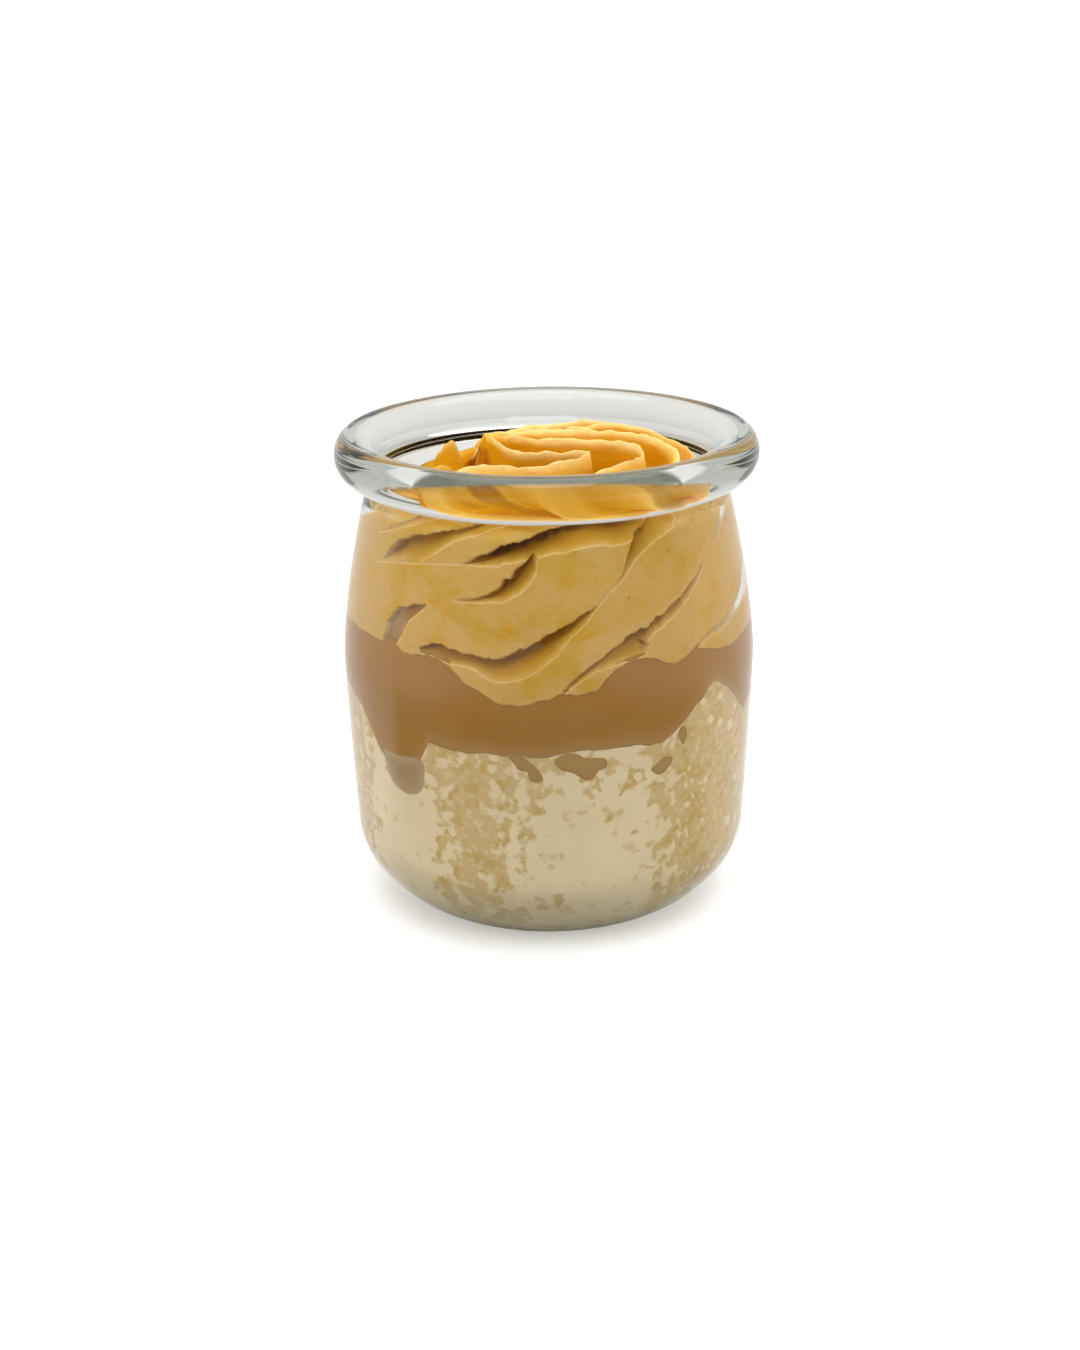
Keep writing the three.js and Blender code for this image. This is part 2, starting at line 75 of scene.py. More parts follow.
def around(angle: np.ndarray, radius: np.ndarray, height: np.ndarray) -> np.ndarray:
    """Returns points at an angle from the front, a radius and a height.

    Args:
        angle: Degrees from the front.
        radius: Distance from the jar's axis.
        height: Height over the table.

    Returns:
        An array whose last axis holds x, y and z.
    """
    angle, radius, height = np.broadcast_arrays(angle, radius, height)
    turn = np.radians(angle)
    return np.stack([radius * np.sin(turn), -radius * np.cos(turn), height], axis=-1)


def facing(angle: np.ndarray) -> np.ndarray:
    """Returns 1 at the front of the jar, and 0 from its sides to its back."""
    return 1.0 - smooth(60.0, 95.0, np.abs(turn_between(angle, 0.0)))


def drawn_in(
    ring: np.ndarray, share: float, level: float | None = None, lift: float = 0.0
) -> np.ndarray:
    """Draws a ring of points in towards the jar's axis.

    Args:
        ring: The points.
        share: Share of their distance from the axis that is left.
        level: Height that all of them get, if they don't keep their own.
        lift: How far they rise otherwise.

    Returns:
        The new ring.
    """
    if level is None:
        return ring * [share, share, 1.0] + np.array([0.0, 0.0, lift])
    return ring * [share, share, 0.0] + np.array([0.0, 0.0, level])


def behind(shown: np.ndarray) -> np.ndarray:
    """Returns where on the inner wall food lies that shows at an angle and height outside.

    Args:
        shown: Angle and height as the glass shows them from the front, on the last axis.

    Returns:
        The same array with the wall's bending of light taken off.
    """
    wall_ratio, glass_ior, drop = 1.075, 1.5, 0.6
    entry = np.sin(np.radians(shown[..., 0])) / glass_ior
    moved = np.array(shown, float)
    moved[..., 0] += np.degrees(np.arcsin(entry * wall_ratio) - np.arcsin(entry))
    moved[..., 1] -= drop
    return moved


def spline(points: np.ndarray, shares: np.ndarray, start: np.ndarray | None = None) -> np.ndarray:
    """Returns points on a smooth curve through evenly timed points.

    Args:
        points: The points that the curve passes, one a row.
        shares: Places along the curve, 0 at its start and 1 at its end.
        start: The curve's direction at its first point, if it isn't the chord's.

    Returns:
        One point for each share.
    """
    points = np.asarray(points, float)
    tangents = np.gradient(points, axis=0)
    if start is not None:
        tangents[0] = start
    place = np.clip(np.asarray(shares, float), 0.0, 1.0) * (len(points) - 1)
    step = np.minimum(place.astype(int), len(points) - 2)
    part = (place - step)[..., None]
    return (
        points[step] * (2 * part**3 - 3 * part**2 + 1)
        + tangents[step] * (part**3 - 2 * part**2 + part)
        + points[step + 1] * (3 * part**2 - 2 * part**3)
        + tangents[step + 1] * (part**3 - part**2)
    )


class Noise:
    """Smooth random values in space, the same on every run."""

    def __init__(self, seed: int) -> None:
        """Takes the seed of the values."""
        self.seed = np.uint64(seed)

    def _corner(self, cell: np.ndarray) -> np.ndarray:
        """Hashes the corners of a lattice.

        Args:
            cell: Whole numbers of each corner, on the last axis.

        Returns:
            A random value from -1 to 1 for each corner.
        """
        x, y, z = (cell[..., k].astype(np.int64).astype(np.uint64) for k in range(3))
        mask = np.uint64(0xFFFFFFFF)
        value = x * np.uint64(374761393) + y * np.uint64(668265263) + z * np.uint64(2246822519)
        value = (value + self.seed * np.uint64(3266489917)) & mask
        value = ((value ^ (value >> np.uint64(15))) * np.uint64(1274126177)) & mask
        value = ((value ^ (value >> np.uint64(13))) * np.uint64(2654435761)) & mask
        value = value ^ (value >> np.uint64(16))
        return value.astype(float) / float(0xFFFFFFFF) * 2.0 - 1.0

    def value(self, points: np.ndarray, size: float) -> np.ndarray:
        """Returns one octave of noise.

        Args:
            points: Places, with x, y and z on the last axis.
            size: Length of the noise's features.

        Returns:
            A value from -1 to 1 for each place.
        """
        with np.errstate(over="ignore"):
            scaled = points / size
            cell = np.floor(scaled)
            part = scaled - cell
            part = part * part * (3.0 - 2.0 * part)
            total = np.zeros(points.shape[:-1])
            for corner in range(8):
                offset = np.array([corner & 1, corner >> 1 & 1, corner >> 2 & 1], float)
                weight = np.prod(np.where(offset > 0, part, 1.0 - part), axis=-1)
                total += weight * self._corner(cell + offset)
        return total

    def fractal(self, points: np.ndarray, size: float, octaves: int = 3) -> np.ndarray:
        """Adds octaves of noise, each half as large and half as strong as the last.

        Args:
            points: Places, with x, y and z on the last axis.
            size: Length of the largest features.
            octaves: Number of octaves.

        Returns:
            A value for each place, mostly from -1 to 1.
        """
        total = np.zeros(points.shape[:-1])
        for octave in range(octaves):
            total += self.value(points + 17.3 * octave, size / 2**octave) / 2**octave
        return total


@dataclass(frozen=True)
class Contour:
    """A line round the jar, through points of an angle and a height.

    Attributes:
        points: Angle and height of each point as they show on the glass, in order.
        softness: How often the line is smoothed.
    """

    points: tuple[tuple[float, float], ...]
    softness: int = 6

    def height(self, angle: np.ndarray) -> np.ndarray:
        """Reads the line off between its points, which are joined straight and then smoothed.

        Args:
            angle: Degrees from the front.

        Returns:
            The line's height at each angle.
        """
        angles, heights = behind(np.array(self.points)).T
        fine = np.linspace(angles[0], angles[0] + 360.0, 721)
        level = np.interp(fine, angles, heights, period=360.0)
        kernel = np.array([0.25, 0.5, 0.25])
        for _ in range(self.softness):
            level = np.convolve(np.pad(level[:-1], 1, mode="wrap"), kernel, mode="valid")
            level = np.append(level, level[0])
        return np.interp((angle - angles[0]) % 360.0, fine - angles[0], level)


def arc_of(
    centre: tuple[float, float], reach: tuple[float, float], turn: tuple[float, float], steps: int
) -> list[tuple[float, float]]:
    """Draws a stretch of an ellipse in the jar's section.

    Args:
        centre: Radius and height of its centre.
        reach: Its half axes, outwards and upwards.
        turn: Degrees where it starts and ends, 0 outwards and 90 upwards.
        steps: Number of points.

    Returns:
        Radius and height of each point, without the last one of the stretch.
    """
    turns = np.radians(np.linspace(turn[0], turn[1], steps, endpoint=False))
    across = centre[0] + reach[0] * np.cos(turns)
    return list(zip(across, centre[1] + reach[1] * np.sin(turns)))


@dataclass(frozen=True)
class JarForm:
    """The jar's section, as the CAD part has it.

    Attributes:
        height: Height of the crown of the rim.
        base_flat_radius: Radius of the flat disc that it rests on.
        heel_height: Height where the rounded heel meets the wall.
        heel_radius: Outer radius there.
        belly_height: Height of the widest part of the body.
        belly_radius: Outer radius there.
        neck_height: Height of the narrowest part under the rim.
        neck_radius: Outer radius there.
        neck_fillet: Radius of the round where the neck meets the rim.
        rim_widest_height: Height of the widest part of the rim.
        rim_radius: Outer radius there.
        crown_radius: Radius of the highest line of the rim.
        mouth_height: Height where the lip's round meets the mouth's slope.
        mouth_radius: Inner radius there.
        throat_height: Height where that slope ends.
        throat_radius: Inner radius there.
        wall: Thickness of the wall.
        floor: Thickness of the floor.
    """

    height: float = 81.75
    base_flat_radius: float = 16.0
    heel_height: float = 15.2
    heel_radius: float = 33.6
    belly_height: float = 44.0
    belly_radius: float = 34.8
    neck_height: float = 73.65
    neck_radius: float = 29.8
    neck_fillet: float = 0.15
    rim_widest_height: float = 78.4
    rim_radius: float = 35.0
    crown_radius: float = 32.6
    mouth_height: float = 79.8
    mouth_radius: float = 28.85
    throat_height: float = 77.0
    throat_radius: float = 28.1
    wall: float = 2.4
    floor: float = 3.2

    def outer(self, height: np.ndarray) -> np.ndarray:
        """Works out the wall's outer face between the heel and the neck.

        Args:
            height: Heights over the table.

        Returns:
            The outer radius at each height.
        """
        height = np.asarray(height, float)
        low = np.clip((self.belly_height - height) / (self.belly_height - self.heel_height), 0, 1)
        high = np.clip((height - self.belly_height) / (self.neck_height - self.belly_height), 0, 1)
        below = (self.belly_radius - self.heel_radius) * low**1.2
        above = (self.belly_radius - self.neck_radius) * high**1.5
        return self.belly_radius - below - above

    def inner(self, height: np.ndarray) -> np.ndarray:
        """Works out the inner face from the floor to the throat.

        Args:
            height: Heights over the table.

        Returns:
            The inner radius at each height.
        """
        height = np.asarray(height, float)
        drop = np.clip((self.heel_height - height) / (self.heel_height - self.floor), 0, 1)
        flat = self.base_flat_radius - self.wall
        foot = self.heel_radius - self.wall
        heel = flat + (foot - flat) * np.sqrt(1.0 - drop * drop)
        wall = np.maximum(self.outer(height) - self.wall, self.throat_radius)
        return np.where(height < self.heel_height, heel, wall)

    def profile(self) -> list[tuple[float, float]]:
        """Draws the whole section, round the base, the wall, the rim and back down the inside.

        Returns:
            Radius and height of each point, from the middle of the base to that of the floor.
        """
        flat, heel, widest = self.base_flat_radius, self.heel_height, self.rim_widest_height
        points = [(0.0, 0.0), (flat * 0.5, 0.0), (flat, 0.0)]
        points += arc_of((flat, heel), (self.heel_radius - flat, heel), (-84, 0), 22)
        fillet = self.neck_fillet
        wall_steps = 46
        levels = np.linspace(heel, self.neck_height - fillet, wall_steps)[:-1]
        points += [(float(self.outer(z)), z) for z in levels]
        corner = (self.neck_radius + fillet, self.neck_height - fillet)
        points += arc_of(corner, (fillet, fillet), (180, 90), 10)
        under = (self.rim_radius - self.neck_radius, widest - self.neck_height)
        points += arc_of((self.neck_radius, widest), under, (-68, 0), 14)
        crown = (self.rim_radius - self.crown_radius, self.height - widest)
        points += arc_of((self.crown_radius, widest), crown, (0, 90), 12)
        lip = (self.crown_radius - self.mouth_radius, self.height - self.mouth_height)
        points += arc_of((self.crown_radius, self.mouth_height), lip, (90, 180), 12)
        levels = np.linspace(self.mouth_height, self.throat_height, 9)
        share = (levels - levels[-1]) / (levels[0] - levels[-1])
        share = mix(share, smooth(0.0, 1.0, share), 0.35)
        points += list(zip(mix(self.throat_radius, self.mouth_radius, share), levels))
        levels = np.linspace(self.neck_height, heel, wall_steps)
        points += [(float(self.inner(z)), z) for z in levels]
        drops = np.sin(np.radians(np.linspace(0, 90, 20)[1:]))
        levels = heel + (self.floor - heel) * drops
        points += [(float(self.inner(z)), float(z)) for z in levels]
        return points + [(self.base_flat_radius * 0.4, self.floor), (0.0, self.floor)]


class Workshop:
    """Makes meshes with Blender's own operators."""

    @staticmethod
    def clear_selection() -> None:
        """Deselects every object."""
        for item in bpy.context.selected_objects:
            item.select_set(False)

    @classmethod
    def lathe(cls, name: str, profile: list[tuple[float, float]], steps: int) -> bpy.types.Object:
        """Spins a section round the jar's axis.

        Args:
            name: Name of the new piece.
            profile: Radius and height of each point of the section.
            steps: Number of faces round the piece.

        Returns:
            The closed piece, with its faces outwards.
        """
        cls.clear_selection()
        bpy.ops.mesh.primitive_plane_add(size=MM, location=(0, 0, 0))
        piece = bpy.context.object
        piece.name = piece.data.name = name
        bpy.ops.object.mode_set(mode="EDIT")
        bpy.ops.mesh.select_all(action="SELECT")
        bpy.ops.mesh.merge(type="CENTER")
        for (radius, height), (wider, higher) in zip(profile, profile[1:]):
            step = (0.0, -(wider - radius) * MM, (higher - height) * MM)
            bpy.ops.mesh.extrude_region_move(TRANSFORM_OT_translate={"value": step})
        bpy.ops.mesh.select_all(action="SELECT")
        bpy.ops.mesh.spin(
            steps=steps, angle=math.tau, center=(0, 0, 0), axis=(0, 0, 1), use_auto_merge=False
        )
        cls._close()
        return piece

    @classmethod
    def shell(
        cls, name: str, rows: np.ndarray, values: dict[str, np.ndarray] | None = None
    ) -> bpy.types.Object:
        """Makes a closed piece from rings of points that start and end in a single point.

        Args:
            name: Name of the new piece.
            rows: Points in millimetres, one ring a row, without a repeat of its first point.
            values: Numbers of each point by the name of their attribute.

        Returns:
            The closed piece, with its faces outwards.
        """
        cls.clear_selection()
        count, sides = rows.shape[:2]
        bpy.ops.mesh.primitive_grid_add(x_subdivisions=sides, y_subdivisions=count - 1, size=1)
        piece = bpy.context.object
        piece.name = piece.data.name = name
        closed = np.concatenate([rows, rows[:, :1]], axis=1) * MM
        piece.data.vertices.foreach_set("co", closed.reshape(-1).astype(np.float32))
        for label, numbers in (values or {}).items():
            layer = piece.data.attributes.new(label, "FLOAT", "POINT")
            layer_rows = np.concatenate([numbers, numbers[:, :1]], axis=1)
            layer.data.foreach_set("value", layer_rows.reshape(-1).astype(np.float32))
        piece.data.update()
        bpy.ops.object.mode_set(mode="EDIT")
        cls._close()
        return piece

    @classmethod
    def capped(
        cls,
        name: str,
        under: list[np.ndarray],
        wall: np.ndarray,
        over: list[np.ndarray],
        label: str,
        numbers: np.ndarray,
        rest: float,
    ) -> bpy.types.Object:
        """Makes a closed layer from its rows at the glass and the rings that close it.

        Args:
            name: Name of the new piece.
            under: Rings of its underside, from the middle outwards.
            wall: Rows at the glass, from below upwards.
            over: Rings of its upper side, from the glass inwards.
            label: Name of the attribute that its finish reads.
            numbers: That attribute's numbers at the glass.
            rest: Its number on the rings.

        Returns:
            The closed piece, with its faces outwards.
        """
        rows = np.concatenate([np.array(under), wall, np.array(over)])
        values = np.pad(numbers, ((len(under), len(over)), (0, 0)), constant_values=rest)
        return cls.shell(name, rows, {label: values})

    @staticmethod
    def _close() -> None:
        """Merges doubled points, turns the faces outwards and shades them smooth."""
        bpy.ops.mesh.select_all(action="SELECT")
        bpy.ops.mesh.remove_doubles(threshold=1e-6)
        bpy.ops.mesh.normals_make_consistent(inside=False)
        bpy.ops.object.mode_set(mode="OBJECT")
        bpy.ops.object.shade_smooth()


class Tree:
    """Lays out shader nodes, each to the right of the last."""

    def __init__(self, tree: bpy.types.NodeTree) -> None:
        """Takes an empty node tree."""
        self.tree = tree
        self.column = 0

    def add(self, kind: str, settings: dict | None = None, **inputs: object) -> bpy.types.Node:
        """Adds a node.

        Args:
            kind: Type name of the node.
            settings: Properties of the node.
            **inputs: A value or another node's output for each input, by its name with _ for
                spaces, or by its number after an i.

        Returns:
            The new node.
        """
        node = self.tree.nodes.new(kind)
        self.column += 1
        node.location = (self.column * 180, 0)
        for name, value in (settings or {}).items():
            setattr(node, name, value)
        for name, value in inputs.items():
            key = int(name[1:]) if name[0] == "i" and name[1:].isdigit() else name.replace("_", " ")
            socket = node.inputs[key]
            if isinstance(value, Socket):
                self.tree.links.new(value, socket)
            elif isinstance(value, tuple) and len(value) == 3 and socket.type == "RGBA":
                socket.default_value = (*value, 1.0)
            else:
                socket.default_value = value
        return node

    def math(
        self, operation: str, first: object, second: object = 0.0, third: float = 0.0
    ) -> Socket:
        """Returns the result of a sum on one to three numbers."""
        settings = {"operation": operation}
        return self.add("ShaderNodeMath", settings, i0=first, i1=second, i2=third).outputs[0]

    def ramp(self, value: object, low: float, high: float) -> Socket:
        """Returns a soft step of a number, from 0 at low to 1 at high."""
        node = self.add(
            "ShaderNodeMapRange",
            {"interpolation_type": "SMOOTHSTEP"},
            i0=value,
            i1=low,
            i2=high,
        )
        return node.outputs[0]

    def blend(self, share: object, first: object, second: object) -> Socket:
        """Returns a colour that lies a share of the way from the first to the second."""
        node = self.add("ShaderNodeMix", {"data_type": "RGBA"}, i0=share, i6=first, i7=second)
        return node.outputs[2]

    def layer(self, mask: object, strength: float, below: object, above: object) -> Socket:
        """Returns a colour with another one over it, as strongly as a mask and a number say."""
        return self.blend(self.math("MULTIPLY", mask, strength), below, above)

    def attribute(self, name: str) -> Socket:
        """Returns the number of a named attribute of the mesh."""
        node = self.add("ShaderNodeAttribute")
        node.attribute_name = name
        return node.outputs["Fac"]

    def skin(self, **inputs: object) -> None:
        """Ends a material in a principled shader with these inputs."""
        shader = self.add("ShaderNodeBsdfPrincipled", **inputs)
        self.add("ShaderNodeOutputMaterial", Surface=shader.outputs[0])


class Effects:
    """Shader node groups that more than one finish uses."""

    @staticmethod
    def _group(name: str, inputs: dict[str, float]) -> tuple[bpy.types.NodeTree, Tree, bpy.types.Node]:
        """Starts a group whose inputs are numbers and whose output is a mask.

        Args:
            name: Name of the group.
            inputs: Name of each input and the number that it has until it is placed.

        Returns:
            The group, its nodes and the node of its inputs.
        """
        group = bpy.data.node_groups.new(name, "ShaderNodeTree")
        for label, value in inputs.items():
            socket = group.interface.new_socket(label, in_out="INPUT", socket_type="NodeSocketFloat")
            socket.default_value = value
        group.interface.new_socket("Mask", in_out="OUTPUT", socket_type="NodeSocketFloat")
        tree = Tree(group)
        return group, tree, tree.add("NodeGroupInput")

    @classmethod
    def specks(cls) -> bpy.types.NodeTree:
        """Returns a group that scatters small soft specks, few or many."""
        found = bpy.data.node_groups.get("Specks")
        if found:
            return found
        group, tree, given = cls._group("Specks", {"Spacing": 1.0, "Size": 0.2, "Share": 0.2})
        place = tree.add("ShaderNodeTexCoord").outputs["Object"]
        scale = tree.math("DIVIDE", 1000.0, given.outputs["Spacing"])
        wobble = tree.add("ShaderNodeTexNoise", Vector=place, Scale=2400.0, Detail=1.0)
        bent = tree.add(
            "ShaderNodeMix", {"data_type": "VECTOR"}, i0=0.00035, i4=place, i5=wobble.outputs["Color"]
        )
        cells = tree.add("ShaderNodeTexVoronoi", Vector=bent.outputs[1], Scale=scale)
        parts = tree.add("ShaderNodeSeparateColor", Color=cells.outputs["Color"])
        chosen = tree.math("LESS_THAN", parts.outputs[0], given.outputs["Share"])
        reach = tree.math("MULTIPLY", given.outputs["Size"], parts.outputs[1])
        depth = tree.math("SUBTRACT", reach, cells.outputs["Distance"])
        soft = tree.ramp(depth, 0.0, 0.07)
        mask = tree.math("MULTIPLY", soft, chosen)
        tree.add("NodeGroupOutput", Mask=mask)
        return group

    @classmethod
    def mottle(cls) -> bpy.types.NodeTree:
        """Returns a group of soft uneven patches with a chosen size and edge."""
        found = bpy.data.node_groups.get("Mottle")
        if found:
            return found
        inputs = {"Size": 1.0, "Level": 0.5, "Edge": 0.1, "Detail": 3.0}
        group, tree, given = cls._group("Mottle", inputs)
        place = tree.add("ShaderNodeTexCoord").outputs["Object"]
        scale = tree.math("DIVIDE", 1000.0, given.outputs["Size"])
        noise = tree.add(
            "ShaderNodeTexNoise", Vector=place, Scale=scale, Detail=given.outputs["Detail"]
        )
        low = tree.math("SUBTRACT", given.outputs["Level"], given.outputs["Edge"])
        high = tree.math("ADD", given.outputs["Level"], given.outputs["Edge"])
        mask = tree.ramp(noise.outputs[0], low, high)
        tree.add("NodeGroupOutput", Mask=mask)
        return group

    @staticmethod
    def place(tree: Tree, group: bpy.types.NodeTree, **values: object) -> Socket:
        """Returns the mask of a group that is placed in a material with its own values."""
        return tree.add("ShaderNodeGroup", {"node_tree": group}, **values).outputs["Mask"]


class Slot(Enum):
    """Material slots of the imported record."""

    GLASS = "jar_glass"
    MILK = "milk_cream"
    SPONGE = "sponge_cake"
    CARAMEL = "caramel"
    CREAM = "lucuma_cream"


def material(name: str) -> tuple[bpy.types.Material, Tree]:
    """Returns a new material and its empty tree of nodes."""
    made = bpy.data.materials.new(name)
    made.use_nodes = True
    made.node_tree.nodes.clear()
    return made, Tree(made.node_tree)


@dataclass(frozen=True)
class GlassFinish:
    """Clear pressed glass with a slight green in its thick parts.

    Attributes:
        ior: Refractive index.
        roughness: How rough its surface is.
        absorbed: Colour that the glass keeps as light crosses it.
        density: How strongly it takes the other colours, for a metre.
        mirrored: How much of each colour its surface mirrors.
        shadow: Share of each colour that its shadow lets through.
    """

    ior: float = 1.5
    roughness: float = 0.02
    absorbed: Colour = (0.56, 0.63, 0.50)
    density: float = 30.0
    mirrored: Colour = (0.6, 0.6, 0.6)
    shadow: Colour = (0.96, 0.97, 0.965)

    def build(self) -> bpy.types.Material:
        """Returns the material, whose shadow lets light through to the dessert."""
        made, tree = material("Jar glass")
        clear = tree.add(
            "ShaderNodeBsdfPrincipled",
            Base_Color=(1.0, 1.0, 1.0),
            Roughness=self.roughness,
            IOR=self.ior,
            Transmission_Weight=1.0,
            Specular_Tint=self.mirrored,
        )
        lit = tree.add("ShaderNodeBsdfTransparent", Color=self.shadow)
        rays = tree.add("ShaderNodeLightPath")
        both = tree.add(
            "ShaderNodeMixShader",
            i0=rays.outputs["Is Shadow Ray"],
            i1=clear.outputs[0],
            i2=lit.outputs[0],
        )
        inside = tree.add(
            "ShaderNodeVolumeAbsorption", Color=self.absorbed, Density=self.density
        )
        tree.add("ShaderNodeOutputMaterial", Surface=both.outputs[0], Volume=inside.outputs[0])
        return made


@dataclass(frozen=True)
class CreamFinish:
    """Whipped lucuma cream: warm yellow, with fibres of fruit and pale wet edges at the glass, and
    painted shade in its grooves, valleys and caves and painted highlight on its crests.

    Attributes:
        free: Colour of the free top.
        pressed: Colour where it is pressed on the glass.
        tinted: Colour of the riper patches there.
        crest: Painted highlight along the thin ridges.
        valley: Painted shade in the valleys between them.
        cave: Painted shade in the deepest hollows there.
        shallow_shade: Painted shade in the shallow grooves behind the glass.
        groove: Painted shade in the deep ones.
        gully: Painted shade in the deepest one.
        outline: Colour of the wet line along a lobe's edge.
        pulp: Colour of the small bits of fruit.
        fibre: Colour of the darkest fibres.
    """

    free: Colour = (0.83, 0.50, 0.08)
    pressed: Colour = (0.63, 0.40, 0.13)
    tinted: Colour = (0.59, 0.33, 0.035)
    crest: Colour = (0.98, 0.69, 0.26)
    valley: Colour = (0.60, 0.25, 0.001)
    cave: Colour = (0.42, 0.12, 0.001)
    shallow_shade: Colour = (0.54, 0.29, 0.035)
    groove: Colour = (0.42, 0.19, 0.006)
    gully: Colour = (0.20, 0.07, 0.001)
    outline: Colour = (0.88, 0.68, 0.36)
    pulp: Colour = (0.60, 0.26, 0.02)
    fibre: Colour = (0.26, 0.13, 0.03)

    def build(self) -> bpy.types.Material:
        """Returns the material, which paints shade by depth and highlight on crests, and reads edges."""
        made, tree = material("Lucuma cream")
        patches = Effects.place(tree, Effects.mottle(), Size=6.0, Level=0.56, Edge=0.12, Detail=6.0)
        colour = tree.layer(patches, 0.75, self.pressed, self.tinted)
        grain = Effects.place(tree, Effects.mottle(), Size=0.8, Level=0.52, Edge=0.2, Detail=5.0)
        colour = tree.layer(grain, 0.34, colour, self.tinted)
        free = tree.attribute("free")
        colour = tree.blend(free, colour, self.free)
        pulp = Effects.place(tree, Effects.specks(), Spacing=2.0, Size=0.3, Share=0.15)
        colour = tree.layer(pulp, 0.6, colour, self.pulp)
        fibre = Effects.place(tree, Effects.specks(), Spacing=3.0, Size=0.13, Share=0.3)
        colour = tree.layer(fibre, 0.7, colour, self.fibre)
        # Painted shade: grooves, valleys, caves and the rim's shade darken and turn orange by depth
        shade_depth = tree.attribute("shade_depth")
        painted_shade = tree.blend(tree.ramp(shade_depth, 0.4, 2.2), self.shallow_shade, self.groove)
        painted_shade = tree.blend(tree.ramp(shade_depth, 1.9, 3.1), painted_shade, self.gully)
        below = tree.blend(tree.ramp(shade_depth, 3.6, 6.5), self.valley, self.cave)
        painted_shade = tree.blend(free, painted_shade, below)
        deep = tree.ramp(shade_depth, 0.0, 1.0)
        colour = tree.layer(deep, 0.95, colour, painted_shade)
        # Painted highlight along the crests of the free top
        colour = tree.blend(tree.attribute("crest"), colour, self.crest)
        edge = tree.attribute("edge")
        inner = tree.ramp(edge, -0.1, 0.0)
        outer = tree.ramp(edge, 0.2, 0.06)
        line = tree.math("MULTIPLY", inner, outer)
        colour = tree.layer(line, 0.35, colour, self.outline)
        bump = tree.add("ShaderNodeBump", Strength=0.4, Distance=0.00015, Height=grain)
        tree.skin(
            Base_Color=colour, Roughness=0.6, IOR=1.4, Specular_IOR_Level=0.0, Normal=bump.outputs[0]
        )
        return made


@dataclass(frozen=True)
class CaramelFinish:
    """Smooth opaque caramel, slightly paler in drawn out streaks.

    Attributes:
        name: Name of the material.
        body: Its main colour.
        pale: Colour of its streaks.
        rim: Colour of its thin edge at the glass.
    """

    name: str = "Caramel"
    body: Colour = (0.37, 0.18, 0.038)
    pale: Colour = (0.41, 0.215, 0.062)
    rim: Colour = (0.52, 0.36, 0.20)

    def build(self) -> bpy.types.Material:
        """Returns the material."""
        made, tree = material(self.name)
        streaks = Effects.place(tree, Effects.mottle(), Size=14.0, Level=0.5, Edge=0.22, Detail=2.0)
        colour = tree.layer(streaks, 0.4, self.body, self.pale)
        edge = tree.attribute("edge")
        soft = tree.math("MULTIPLY", tree.ramp(edge, 3.0, 0.0), 0.25)
        line = tree.math("MULTIPLY", tree.ramp(edge, 0.34, 0.08), 0.3)
        colour = tree.blend(tree.math("ADD", soft, line), colour, self.rim)
        tree.skin(Base_Color=colour, Roughness=0.5, IOR=1.45, Specular_IOR_Level=0.2)
        return made


@dataclass(frozen=True)
class MilkFinish:
    """Smooth milk cream with a few soaked crumbs seen through it.

    Attributes:
        body: Its main colour.
        shade: Colour of its slightly darker clouds.
        crumb: Colour of the larger crumbs that float in it.
        speck: Colour of the small ones.
    """

    body: Colour = (0.84, 0.70, 0.47)
    shade: Colour = (0.77, 0.64, 0.42)
    crumb: Colour = (0.66, 0.47, 0.24)
    speck: Colour = (0.38, 0.36, 0.26)

    def build(self) -> bpy.types.Material:
        """Returns the material."""
        made, tree = material("Milk cream")
        clouds = Effects.place(tree, Effects.mottle(), Size=8.0, Level=0.5, Edge=0.2, Detail=2.0)
        colour = tree.layer(clouds, 0.6, self.body, self.shade)
        specks = Effects.place(tree, Effects.specks(), Spacing=2.4, Size=0.3, Share=0.2)
        colour = tree.layer(specks, 0.32, colour, self.speck)
        isles = Effects.place(tree, Effects.mottle(), Size=3.0, Level=0.665, Edge=0.03, Detail=5.0)
        colour = tree.layer(isles, 0.6, colour, self.crumb)
        # The crumbs bring painted light low in the heel as well
        colour = SpongeFinish().crumbs(tree, colour)
        tree.skin(Base_Color=colour, Roughness=0.55, IOR=1.4)
        return made


